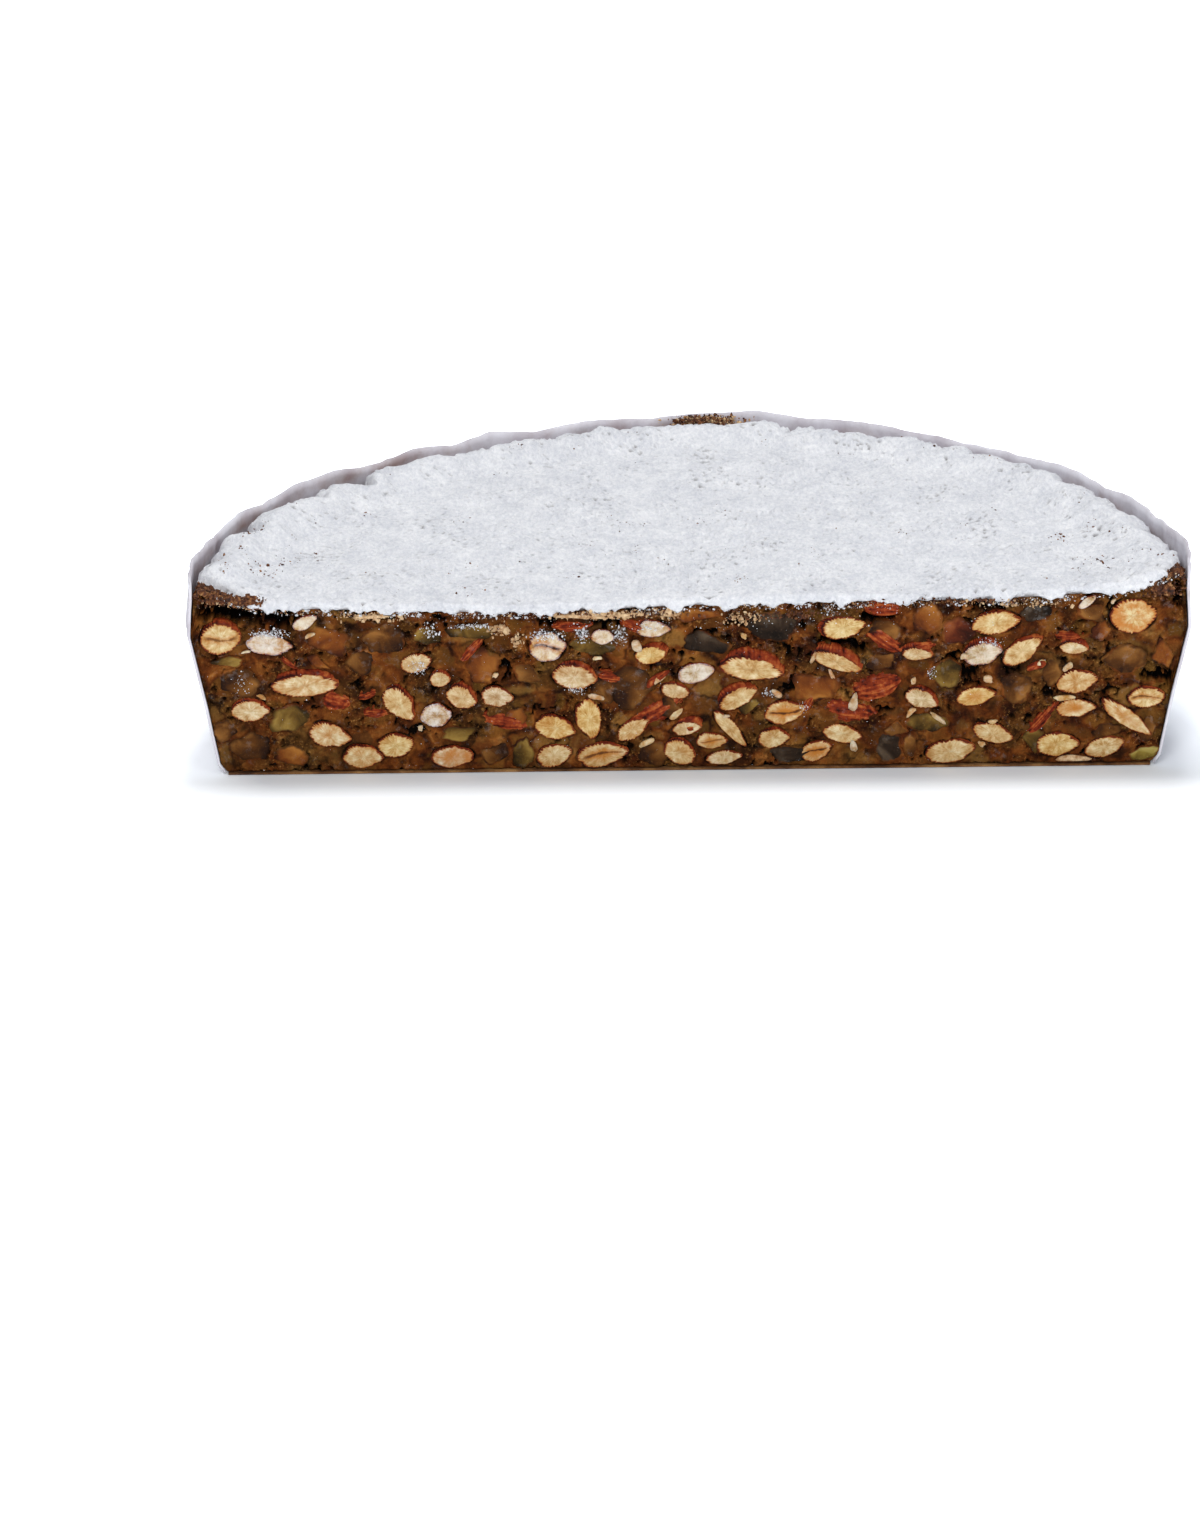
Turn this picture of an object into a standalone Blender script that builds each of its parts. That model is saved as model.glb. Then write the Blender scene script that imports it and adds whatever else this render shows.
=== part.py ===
"""Half a large round of panforte, cut straight across: a dense honey, nut and candied fruit cake on a wafer
base, with a wafer collar round its curved side and a thick layer of icing sugar on top.

Metres, +Z up. X runs along the cut, -Y points out of the cut face, and the origin is under the middle of the
bounding box, on the surface that the base stands on. Almonds and candied fruit that the knife met are solids of
their own, each in a pocket of the cake that is cut 0.3 mm larger.
"""

import math
from collections import namedtuple

import bmesh
import bpy
from mathutils import Matrix, Vector

MM = 0.001
GAP = 0.3 * MM  # clearance between any two pieces that touch

# The round, seen from above. Its centre lies behind the knife's cut.
ROUND_RADIUS = 146.3 * MM
CENTRE_BEHIND_CUT = 21.7 * MM
SQUARE_SHOULDERS = 5.6 * MM  # the sides are fuller and the back is flatter than a circle
FULLER_RIGHT = 1.5 * MM
FULLER_BACK = 2.8 * MM
COLLAR_FLATS = 22  # the stiff wafer bends in flats, counted round the whole circle
FLATNESS = 0.6  # 0 is a smooth curve, 1 a polygon
PIECE_DEPTH = 165.2 * MM  # from the cut to the furthest point of the back
TURN_STEPS = 40  # facets round the half turn

# Heights.
WAFER_THICKNESS = 0.6 * MM
CAKE_BOTTOM = WAFER_THICKNESS + GAP
CAKE_TOP = 53.0 * MM  # away from the rim, before the gentle slope and waves
RISE_TO_RIGHT = 2.4 * MM  # the top climbs this much from the middle of the cut to its right end
DIP_ON_LEFT = 1.4 * MM
CORNER_RISE = 2.6 * MM  # where the knife came through the lip, the mix was pushed up
CORNER_SPREAD = 15.0 * MM
SUGAR_THICKNESS = 2.8 * MM
SUGAR_LUMPS = 0.6 * MM
SUGAR_GAP = 0.7 * MM  # more than the usual gap, because both pieces bend over the same uneven lip in flats
COLLAR_THICKNESS = 0.5 * MM
COLLAR_TOP = 59.6 * MM
COLLAR_WAVE = 0.7 * MM
COLLAR_LEAN = 1.6 * MM  # its top leans in by this much from the widest point

# Side of the cake, from its bottom edge to the outer edge of its top: inset from the outline, and height. The
# sides draw in towards the base.
SIDE_PROFILE = [
    (9.5 * MM, CAKE_BOTTOM),
    (7.6 * MM, 3.2 * MM),
    (4.4 * MM, 22.0 * MM),
    (0.0 * MM, 45.0 * MM),
    (0.9 * MM, 53.0 * MM),
]
# The mix stands higher where it met the collar: the lip's crest, and the foot of its even slope inwards.
LIP_CREST = (2.4 * MM, 57.0 * MM)
LIP_FOOT_INSET = 20.0 * MM
TOP_RINGS = (0.72, 0.56, 0.40, 0.22)  # rings of the cake's top further in, as shares of the radius
SUGAR_RINGS = (0.77, 0.67, 0.57, 0.47, 0.37, 0.26, 0.13)

# The sugar's edge, as an inset from the outline. At both ends of the cut it fell away and bares the lip.
SUGAR_INSET = 4.2 * MM
SUGAR_BARED = 11.0 * MM
SUGAR_BARED_ANGLE = math.radians(7)
SUGAR_RAGGED = 1.2 * MM

# What the knife met. x runs along the cut from the middle of the piece, z up from the base, length and width are
# those of the cut section and tilt lifts its right end, in degrees. up and side shift the belly of the piece
# behind the cut, where its flank bulges past the section. All lengths here are in millimetres.
Section = namedtuple("Section", "x z length width tilt up side", defaults=(0.0, 0.0))

ALMOND_DEPTH = 5.6 * MM
ALMONDS = [
    # Left end.
    Section(-142.0, 44.5, 12.0, 10.4, -8, 1.3),
    Section(-127.5, 42.0, 13.6, 6.8, 2),
    Section(-117.0, 29.0, 20.4, 7.0, -3, 2.2),
    Section(-110.0, 12.4, 12.8, 8.4, -5),
    Section(-100.0, 5.6, 12.0, 8.0, -12),
    Section(-88.8, 22.2, 12.4, 8.2, -40, 1.3, 1.0),
    Section(-90.0, 9.2, 10.8, 7.6, -5),
    Section(-77.6, 18.9, 9.0, 7.8, -10),
    Section(-69.8, 24.2, 9.6, 7.2, -15, 1.4, 1.0),
    Section(-59.0, 24.4, 9.8, 7.0, 3),
    Section(-72.8, 5.3, 13.0, 6.8, -5),
    # Left of the middle.
    Section(-43.7, 40.3, 11.0, 9.4, 12),
    Section(-35.6, 30.5, 13.6, 8.0, 0, 2.2, 0.6),
    Section(-41.4, 14.4, 12.2, 8.0, -25),
    Section(-31.4, 17.0, 12.8, 8.2, -68),
    Section(-41.8, 5.4, 11.0, 7.4, 8),
    Section(-27.2, 5.5, 15.6, 7.8, 0, 0.5),
    Section(-12.4, 37.4, 9.4, 6.0, 18, 1.9, 1.6),
    Section(1.2, 31.8, 11.2, 6.2, 5),
    Section(-18.0, 13.6, 10.8, 6.0, 25, 2.6, 2.6),
    Section(-3.8, 5.6, 10.2, 7.6, -20, 1.0, 0.6),
    # Right of the middle.
    Section(6.0, 9.6, 9.4, 5.4, -8),
    Section(11.6, 13.4, 15.0, 4.5, -45),
    Section(18.0, 32.8, 19.0, 7.4, -14, 3.2, 1.0),
    Section(14.0, 23.4, 12.6, 6.0, 22, 2.0, -1.4),
    Section(28.4, 18.8, 12.6, 8.0, 0),
    Section(25.0, 10.2, 9.6, 6.6, -5, 0.8),
    Section(45.8, 46.0, 13.0, 7.0, 0, 0.2, -2.8),
    Section(43.8, 34.8, 16.2, 4.6, -24, 2.6, 1.0),
    Section(45.8, 11.2, 12.0, 5.6, -5),
    Section(38.0, 5.8, 9.8, 6.4, 30),
    Section(69.8, 22.2, 10.4, 6.4, -15, 1.3, 1.1),
    # Right end.
    Section(92.0, 47.0, 15.0, 7.6, 0),
    Section(88.0, 37.0, 12.0, 7.0, 5, 2.2),
    Section(100.2, 37.6, 13.6, 7.2, 42, 1.6, 1.0),
    Section(86.4, 23.3, 12.0, 6.0, 3),
    Section(78.8, 5.4, 15.2, 7.2, 3),
    Section(91.8, 10.8, 12.6, 6.2, -10),
    Section(117.2, 27.8, 12.4, 8.0, 0),
    Section(117.0, 18.8, 12.2, 6.0, 12),
    Section(111.6, 6.8, 13.4, 8.0, 12, 0.8),
    Section(133.6, 48.4, 13.8, 11.6, 15),
    Section(138.4, 22.0, 11.2, 6.4, 10, 1.1),
    Section(132.4, 15.6, 19.0, 5.4, -32),
    Section(126.2, 6.0, 12.6, 6.8, 25),
]
# An almond that the knife missed lies whole in the face and shows its skin.
WHOLE_ALMOND = Section(56.6, 27.0, 18.4, 10.4, 18)
WHOLE_DEPTH = 4.2 * MM
WHOLE_SETBACK = 2.9 * MM  # its middle lies this far behind the face
POINTED = 0.34  # how much slimmer an almond is at its tip than at its round end

FRUIT_DEPTH = 5.0 * MM
FRUIT_SQUARENESS = 0.62  # 1 is an ellipse, lower is closer to a box
CANDIED_FRUIT = [
    Section(-136.6, 30.0, 12.2, 8.6, -12),
    Section(-109.4, 43.4, 11.0, 9.4, 0),
    Section(-66.4, 45.6, 13.6, 4.6, 0),
    Section(-29.4, 40.4, 13.4, 4.8, -6),
    Section(-18.2, 27.2, 13.6, 10.0, 0),
    Section(-70.6, 12.6, 11.8, 5.0, 0),
    Section(24.6, 46.4, 15.4, 8.6, -6),
    Section(77.4, 30.4, 7.0, 8.4, -10),
    Section(98.8, 25.6, 8.4, 8.0, 0),
    Section(131.2, 34.8, 13.0, 9.0, -8),
]

# Linear colour and roughness of each finish.
FINISHES = {
    "cake": ((0.105, 0.045, 0.014), 0.5),
    "sugar": ((0.78, 0.79, 0.82), 0.95),
    "wafer": ((0.49, 0.45, 0.50), 0.75),
    "almond": ((0.72, 0.49, 0.24), 0.6),
    "skin": ((0.20, 0.034, 0.009), 0.5),
    "candied": ((0.10, 0.074, 0.019), 0.3),
}

CUT_Y = -PIECE_DEPTH / 2  # the plane of the cut in the part's frame


# --- Frame and materials ---------------------------------------------------------------------------------------


def clear_scene():
    for old in list(bpy.data.objects):
        bpy.data.objects.remove(old, do_unlink=True)


def collection(name):
    made = bpy.data.collections.new(name)
    bpy.context.scene.collection.children.link(made)
    return made


def finish(name):
    colour, roughness = FINISHES[name]
    made = bpy.data.materials.new(name)
    made.use_nodes = True
    shader = made.node_tree.nodes["Principled BSDF"]
    shader.inputs["Base Color"].default_value = (*colour, 1.0)
    shader.inputs["Roughness"].default_value = roughness
    shader.inputs["Metallic"].default_value = 0.0
    return made


def keep_mesh(name, bm, home, material):
    """Makes an object from a bmesh, with its faces turned outwards."""
    bm.normal_update()
    bmesh.ops.recalc_face_normals(bm, faces=bm.faces)
    mesh = bpy.data.meshes.new(name)
    bm.to_mesh(mesh)
    bm.free()
    made = bpy.data.objects.new(name, mesh)
    home.objects.link(made)
    if material:
        mesh.materials.append(material)
    return made


# --- Outline and top of the round ------------------------------------------------------------------------------


def round_radius(angle):
    """Radius of the round about its own centre: squared shoulders, uneven sides, and the flats of the collar."""
    radius = ROUND_RADIUS + SQUARE_SHOULDERS * math.cos(2 * angle)
    radius += FULLER_RIGHT * math.sin(2 * angle) - FULLER_BACK * math.sin(3 * angle)
    half_flat = math.pi / COLLAR_FLATS
    uneven = angle + 0.08 * math.sin(3 * angle)
    from_middle = uneven % (2 * half_flat) - half_flat
    polygon = math.cos(half_flat) / math.cos(from_middle)
    return radius * (1 - FLATNESS + FLATNESS * polygon)


def reach(angle):
    """Distance from the middle of the cut to the outline, in a direction given from +X."""
    across = CENTRE_BEHIND_CUT * math.cos(angle)
    along = CENTRE_BEHIND_CUT * math.sin(angle)
    distance = ROUND_RADIUS
    for _ in range(12):
        seen_at = math.atan2(distance * math.sin(angle) - CENTRE_BEHIND_CUT, distance * math.cos(angle))
        distance = along + math.sqrt(round_radius(seen_at) ** 2 - across**2)
    return distance


def top_wave(x, y):
    """How far the top of the cake lies above its nominal height at a point behind the cut."""
    share = x / ROUND_RADIUS
    slope = RISE_TO_RIGHT * max(share, 0.0) - DIP_ON_LEFT * math.exp(-(((share + 0.45) / 0.35) ** 2))
    corner = CORNER_RISE * math.exp(-((math.hypot(abs(x) - ROUND_RADIUS, y) / CORNER_SPREAD) ** 2))
    return slope + corner + 0.5 * MM * math.sin(x / (19 * MM) + 0.7) * math.cos(y / (23 * MM))


def lip_height(inset):
    """Nominal height of the cake's top, from the lip's crest down its even slope."""
    crest_inset, crest = LIP_CREST
    share = min(max((LIP_FOOT_INSET - inset) / (LIP_FOOT_INSET - crest_inset), 0.0), 1.0)
    return CAKE_TOP + (crest - CAKE_TOP) * share


def sugar_edge(angle):
    """Inset of the sugar's ragged edge from the outline, in a direction given from +X."""
    from_cut = min(angle, math.pi - angle)
    bared = SUGAR_BARED * math.exp(-((from_cut / SUGAR_BARED_ANGLE) ** 2))
    return SUGAR_INSET + bared + SUGAR_RAGGED * math.sin(17 * angle) * math.cos(6 * angle + 1.0)


def lumps(x, y):
    """Unevenness of the sugar's surface."""
    first = math.sin(x / (4.1 * MM) + 2.3 * math.sin(y / (9 * MM)))
    second = math.cos(y / (5.3 * MM) + 1.7 * math.sin(x / (11 * MM)))
    return SUGAR_LUMPS * first * second


# --- Half-turned pieces ----------------------------------------------------------------------------------------


def half_turn(name, profile, closed):
    """Turns a profile of (radius, height) half way round with a Screw modifier and caps it at the cut, y = 0.
    Returns a bmesh whose radii are still those of a true circle."""
    mesh = bpy.data.meshes.new(name + "_profile")
    edges = [(i, i + 1) for i in range(len(profile) - 1)]
    if closed:
        edges.append((len(profile) - 1, 0))
    mesh.from_pydata([(radius, 0.0, height) for radius, height in profile], edges, [])
    guide = bpy.data.objects.new(name + "_profile", mesh)
    bpy.context.scene.collection.objects.link(guide)
    screw = guide.modifiers.new("half turn", "SCREW")
    screw.angle = math.pi
    screw.steps = screw.render_steps = TURN_STEPS
    screw.use_merge_vertices = True
    screw.merge_threshold = 0.00005
    bpy.context.view_layer.update()
    turned = bpy.data.meshes.new_from_object(guide.evaluated_get(bpy.context.evaluated_depsgraph_get()))
    bpy.data.objects.remove(guide, do_unlink=True)
    bm = bmesh.new()
    bm.from_mesh(turned)
    bmesh.ops.remove_doubles(bm, verts=bm.verts, dist=0.00001)
    rim = [edge for edge in bm.edges if edge.is_boundary]
    bmesh.ops.holes_fill(bm, edges=rim, sides=0)
    return bm


def place_round(bm, lift):
    """Swells the true half circle to the round's own outline, lifts each point by lift(x, y, height), and moves the
    piece so that its cut lies in the cut plane."""
    for vertex in bm.verts:
        x, y, height = vertex.co
        angle = math.atan2(max(y, 0.0), x)
        swell = reach(angle) / ROUND_RADIUS
        x, y = x * swell, y * swell
        vertex.co = Vector((x, y + CUT_Y, height + lift(x, y, height)))


def side_points(outset):
    """The cake's side profile moved outwards, up past the widest point to the collar's top."""
    points = [(ROUND_RADIUS - inset + outset, height) for inset, height in SIDE_PROFILE]
    return points + [(ROUND_RADIUS - COLLAR_LEAN + outset, COLLAR_TOP)]


def top_share(height):
    """0 low on the cake and 1 at its top, so that the waves of the top fade out down its side."""
    return min(max((height - SIDE_PROFILE[3][1]) / (CAKE_TOP - SIDE_PROFILE[3][1]), 0.0), 1.0)


def make_cake(home, material):
    """The fruit and nut cake: flat base, sides that draw in below, raised lip and a gently waved top."""
    profile = [(0.0, CAKE_BOTTOM)]
    profile += [(ROUND_RADIUS - inset, height) for inset, height in [*SIDE_PROFILE, LIP_CREST]]
    profile.append((ROUND_RADIUS - LIP_FOOT_INSET, CAKE_TOP))
    profile += [(ROUND_RADIUS * share, CAKE_TOP) for share in TOP_RINGS]
    profile.append((0.0, CAKE_TOP))
    bm = half_turn("cake", profile[::-1], closed=False)
    place_round(bm, lambda x, y, height: top_wave(x, y) * top_share(height))
    return keep_mesh("cake", bm, home, material)


def make_sugar(home, material):
    """The icing sugar: a thick, lumpy layer that climbs the lip's slope and ends in a ragged, rounded rim."""
    under = CAKE_TOP + SUGAR_GAP
    top = CAKE_TOP + SUGAR_THICKNESS
    foot = ROUND_RADIUS - LIP_FOOT_INSET
    profile = [(ROUND_RADIUS * share, under) for share in (0.0, *TOP_RINGS[::-1])]
    profile += [(foot, under), (ROUND_RADIUS, under), (ROUND_RADIUS, top), (foot, top)]
    profile += [(ROUND_RADIUS * share, top) for share in SUGAR_RINGS]
    profile.append((0.0, top))
    bm = half_turn("icing_sugar", profile[::-1], closed=False)
    middle = (under + top) / 2
    for vertex in bm.verts:
        x, y, height = vertex.co
        if math.hypot(x, y) > foot + LIP_FOOT_INSET / 2:
            inset = sugar_edge(math.atan2(max(y, 0.0), x))
            rounding = 0.5 * SUGAR_THICKNESS if height > middle else 0.0
            share = 1 - (inset + rounding) / ROUND_RADIUS
            vertex.co = Vector((x * share, y * share, height + lip_height(inset) - CAKE_TOP))
    place_round(bm, lambda x, y, height: top_wave(x, y) + (lumps(x, y) if height > middle else 0.0))
    return keep_mesh("icing_sugar", bm, home, material)


def make_collar(home, material):
    """The wafer collar: a thin band round the curved side that stands a little above the sugar."""
    inner = side_points(GAP)
    outer = side_points(GAP + COLLAR_THICKNESS)
    bm = half_turn("wafer_collar", inner + outer[::-1], closed=True)

    def lift(x, y, height):
        angle = math.atan2(y, x)
        wave = math.sin(5 * angle + 0.4) + 0.5 * math.sin(11 * angle)
        return (top_wave(x, y) + COLLAR_WAVE * wave) * top_share(height)

    place_round(bm, lift)
    return keep_mesh("wafer_collar", bm, home, material)


def make_base(home, material):
    """The wafer base: one thin flat sheet that the cake stands on."""
    edge = ROUND_RADIUS - SIDE_PROFILE[0][0]
    profile = [(0.0, WAFER_THICKNESS), (edge, WAFER_THICKNESS), (edge, 0.0), (0.0, 0.0)]
    bm = half_turn("wafer_base", profile, closed=False)
    place_round(bm, lambda x, y, height: 0.0)
    return keep_mesh("wafer_base", bm, home, material)


# --- Almonds and candied fruit ---------------------------------------------------------------------------------


def powered(value, power):
    return math.copysign(abs(value) ** power, value)


def section_body(section, depth, grow, pointed=0.0, squareness=1.0, segments=10, setback=0.0):
    """The whole shape of a piece in the face, from a sphere whose poles point along the depth. An almond narrows
    towards one end, candied fruit is squarer, and the belly behind the cut shifts by up and side."""
    bm = bmesh.new()
    bmesh.ops.create_uvsphere(bm, u_segments=segments, v_segments=6, radius=1.0)
    half_length = section.length * MM / 2 + grow
    half_width = section.width * MM / 2 + grow
    turn = Matrix.Rotation(math.radians(-section.tilt), 3, "Y")
    for vertex in bm.verts:
        across, up, behind = vertex.co
        across, up = powered(across, squareness), powered(up, squareness)
        slim = 1 - pointed * (0.5 + 0.5 * across) ** 2
        place = turn @ Vector((across * half_length, 0.0, up * half_width * slim))
        bulge = math.sin(math.pi * min(max(behind, 0.0), 1.0))
        place.x += section.x * MM + section.side * MM * bulge
        place.z += section.z * MM + section.up * MM * bulge
        place.y = behind * (depth + grow) + CUT_Y + setback
        vertex.co = place
    return bm


def add_piece(name, section, home, cutters, material, depth, cut=True, **shape):
    """One piece in the face and the cutter of its pocket. The knife leaves only what lies behind the cut plane."""
    body = section_body(section, depth, 0.0, **shape)
    if cut:
        plane = Vector((0.0, CUT_Y, 0.0))
        everything = [*body.verts, *body.edges, *body.faces]
        bmesh.ops.bisect_plane(
            body, geom=everything, dist=1e-7, plane_co=plane, plane_no=(0, -1, 0), clear_outer=True
        )
        bmesh.ops.holes_fill(body, edges=[edge for edge in body.edges if edge.is_boundary], sides=0)
    keep_mesh(name, body, home, material)
    cutter = keep_mesh(name + "_pocket", section_body(section, depth, GAP, **shape), cutters, None)
    cutter.hide_render = True
    cutter.display_type = "WIRE"


def make_inclusions(home, cutters):
    kernel, skin, candied = finish("almond"), finish("skin"), finish("candied")
    for number, section in enumerate(ALMONDS, 1):
        add_piece(f"almond_{number:02d}", section, home, cutters, kernel, ALMOND_DEPTH, pointed=POINTED)
    add_piece(
        "almond_whole",
        WHOLE_ALMOND,
        home,
        cutters,
        skin,
        WHOLE_DEPTH,
        cut=False,
        pointed=POINTED,
        setback=WHOLE_SETBACK,
    )
    for number, section in enumerate(CANDIED_FRUIT, 1):
        add_piece(
            f"candied_{number:02d}",
            section,
            home,
            cutters,
            candied,
            FRUIT_DEPTH,
            squareness=FRUIT_SQUARENESS,
            segments=8,
        )


def cut_pockets(cake, cutters):
    """Takes every pocket out of the cake in one Boolean."""
    pockets = cake.modifiers.new("pockets", "BOOLEAN")
    pockets.operation = "DIFFERENCE"
    pockets.operand_type = "COLLECTION"
    pockets.collection = cutters
    pockets.solver = "EXACT"


def main():
    clear_scene()
    panforte = collection("panforte")
    cutters = collection("pockets")
    cake = make_cake(panforte, finish("cake"))
    make_sugar(panforte, finish("sugar"))
    wafer = finish("wafer")
    make_collar(panforte, wafer)
    make_base(panforte, wafer)
    make_inclusions(panforte, cutters)
    cut_pockets(cake, cutters)


main()
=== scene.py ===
"""Half of a large round panforte, cut straight across with a knife, as sold by the slice.

A dense cake of toasted almonds and candied fruit in honey paste, baked on a wafer, with a wafer collar
round its side and a thick crust of icing sugar on top. Metres, +Z up. The cut face looks towards -Y.
"""

import math
import random
from collections import namedtuple

import bpy
import numpy as np
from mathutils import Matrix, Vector, noise
from mathutils.bvhtree import BVHTree


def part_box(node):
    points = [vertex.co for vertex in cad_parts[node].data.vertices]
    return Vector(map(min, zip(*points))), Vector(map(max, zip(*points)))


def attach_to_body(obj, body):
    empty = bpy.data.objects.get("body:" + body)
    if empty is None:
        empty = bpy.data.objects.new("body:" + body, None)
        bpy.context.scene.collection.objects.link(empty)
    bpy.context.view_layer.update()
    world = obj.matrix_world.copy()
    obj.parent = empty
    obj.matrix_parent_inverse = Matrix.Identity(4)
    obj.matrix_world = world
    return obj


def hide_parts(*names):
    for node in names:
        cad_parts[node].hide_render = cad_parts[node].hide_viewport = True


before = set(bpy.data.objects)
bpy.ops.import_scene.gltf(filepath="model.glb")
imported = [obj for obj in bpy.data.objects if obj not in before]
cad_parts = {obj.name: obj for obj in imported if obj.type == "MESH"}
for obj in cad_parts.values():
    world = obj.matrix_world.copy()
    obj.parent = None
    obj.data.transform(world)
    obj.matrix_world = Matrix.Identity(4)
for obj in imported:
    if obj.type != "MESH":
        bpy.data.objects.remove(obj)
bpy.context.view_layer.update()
bpy.ops.object.select_all(action="DESELECT")

MM = 0.001
CUT_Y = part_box("wafer_base")[0].y  # plane of the knife's cut


# --- Camera, floor and light ----------------------------------------------------------------------
# A long lens a little above the cake, slightly left of square to the cut. The floor is white and glows
# as painted light, except in a half disc under the cake that stays dark as a painted shadow. One soft
# box hangs over the back of the cake, two stand in front of it.
VIEW_AZIMUTH = math.radians(-1.68)
VIEW_ELEVATION = math.radians(20.58)
VIEW_DISTANCE = 1.55
VIEW_TARGET = Vector((0.0, CUT_Y + 46.5 * MM, 27.9 * MM))

backwards = Vector(
    (
        math.sin(VIEW_AZIMUTH) * math.cos(VIEW_ELEVATION),
        -math.cos(VIEW_AZIMUTH) * math.cos(VIEW_ELEVATION),
        math.sin(VIEW_ELEVATION),
    )
)
bpy.ops.object.camera_add(
    location=VIEW_TARGET + VIEW_DISTANCE * backwards,
    rotation=(math.pi / 2 - VIEW_ELEVATION, 0, VIEW_AZIMUTH),
)
camera = bpy.context.object
camera.data.lens = 116.49
camera.data.sensor_width = 36.0
camera.data.shift_x = -0.0568
camera.data.shift_y = -0.0894
bpy.context.scene.camera = camera
bpy.context.scene.view_settings.view_transform = "Standard"


def linear(colour):
    """sRGB hex to the linear colour that a shader takes."""
    channels = [int(colour[i : i + 2], 16) / 255 for i in (1, 3, 5)]
    return (*[c / 12.92 if c <= 0.04045 else ((c + 0.055) / 1.055) ** 2.4 for c in channels], 1.0)


class Stuff:
    """The material of one real stuff, and calls that add shader nodes to it. They take numbers, hex
    colours or sockets, and all but add, surface and bump return sockets."""

    def __init__(self, name):
        self.material = bpy.data.materials.new(name)
        self.material.use_nodes = True
        self.tree = self.material.node_tree

    def feed(self, node, inputs):
        for name, value in inputs.items():
            if isinstance(value, bpy.types.NodeSocket):
                self.tree.links.new(value, node.inputs[name])
            else:
                node.inputs[name].default_value = linear(value) if isinstance(value, str) else value

    def surface(self, inputs):
        """Sets or links inputs of the shader itself."""
        self.feed(self.tree.nodes["Principled BSDF"], inputs)

    def add(self, kind, inputs=None, **settings):
        """Adds a node with its settings and its inputs, and returns it."""
        node = self.tree.nodes.new(f"ShaderNode{kind}")
        for name, value in settings.items():
            setattr(node, name, value)
        self.feed(node, inputs or {})
        return node

    def place(self):
        """A point's X, Y and Z in the object's own space."""
        return self.add("SeparateXYZ", {0: self.add("TexCoord").outputs["Object"]}).outputs

    def shade(self, name):
        """A named value of the mesh."""
        return self.add("Attribute", attribute_name=name).outputs["Fac"]

    def parts_of(self, name):
        """The three numbers of a named value of the mesh."""
        value = self.add("Attribute", attribute_name=name).outputs["Vector"]
        parts = self.add("SeparateXYZ", {0: value}).outputs
        return parts["X"], parts["Y"], parts["Z"]

    def maths(self, operation, *values):
        return self.add("Math", dict(enumerate(values)), operation=operation).outputs[0]

    def times(self, first, second):
        return self.maths("MULTIPLY", first, second)

    def scaled(self, value, factor, offset):
        """A value times a factor, plus an offset."""
        return self.maths("MULTIPLY_ADD", value, factor, offset)

    def between(self, value, low, high, to_low=0.0, to_high=1.0):
        """Maps a value from low..high to to_low..to_high, clamped."""
        inputs = {"Value": value, "From Min": low, "From Max": high, "To Min": to_low, "To Max": to_high}
        return self.add("MapRange", inputs).outputs["Result"]

    def mix(self, factor, first, second):
        """Mixes two colours."""
        return self.add("Mix", {"Factor": factor, "A": first, "B": second}, data_type="RGBA").outputs[2]

    def ramp(self, value, stops):
        """Runs a value through a colour ramp."""
        node = self.add("ValToRGB", {"Fac": value})
        while len(node.color_ramp.elements) < len(stops):
            node.color_ramp.elements.new(0.5)
        for stop, (position, colour) in zip(node.color_ramp.elements, stops):
            stop.position = position
            stop.color = linear(colour)
        return node.outputs["Color"]

    def noise(self, size, detail=4.0, roughness=0.6, distortion=0.0, squeeze=(1.0, 1.0, 1.0)):
        """Noise in the object's own space between 0 and 1, with features of a real size."""
        own_place = self.add("TexCoord").outputs["Object"]
        squeezed = self.add("VectorMath", {0: own_place, 1: squeeze}, operation="MULTIPLY").outputs[0]
        grain = {"Scale": 1 / size, "Detail": detail, "Roughness": roughness, "Distortion": distortion}
        return self.add("TexNoise", {"Vector": squeezed, **grain}).outputs["Fac"]

    def bump(self, height, distance, strength=0.6):
        made = self.add("Bump", {"Height": height, "Distance": distance, "Strength": strength})
        self.surface({"Normal": made.outputs["Normal"]})


# The floor glows as painted light outside a half disc under the cake, which stays dark as a painted
# shadow: the disc's middle and radius, and how far away from it the glow begins and is full, as square
# roots of metres.
PAINTED_SHADOW_MIDDLE_X = 15 * MM
PAINTED_SHADOW_FRONT_Y = -86 * MM
PAINTED_SHADOW_RADIUS = 139 * MM
PAINTED_GLOW_BEGINS, PAINTED_GLOW_FULL = 0.08, 0.30
PAINTED_GLOW = 0.65

painted_glow_floor = Stuff("floor_with_painted_glow")
floor_place = painted_glow_floor.place()
sideways = painted_glow_floor.maths("SUBTRACT", floor_place["X"], PAINTED_SHADOW_MIDDLE_X)
behind_cut = painted_glow_floor.maths("MAXIMUM", painted_glow_floor.maths("ADD", floor_place["Y"], -PAINTED_SHADOW_FRONT_Y), 0.0)
from_middle = painted_glow_floor.maths("SQRT", painted_glow_floor.scaled(sideways, sideways, painted_glow_floor.times(behind_cut, behind_cut)))
past_side = painted_glow_floor.maths("MAXIMUM", painted_glow_floor.maths("SUBTRACT", from_middle, PAINTED_SHADOW_RADIUS), 0.0)
past_front = painted_glow_floor.maths("MAXIMUM", painted_glow_floor.maths("SUBTRACT", PAINTED_SHADOW_FRONT_Y, floor_place["Y"]), 0.0)
from_cake = painted_glow_floor.scaled(past_side, past_side, painted_glow_floor.times(past_front, past_front))
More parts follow.
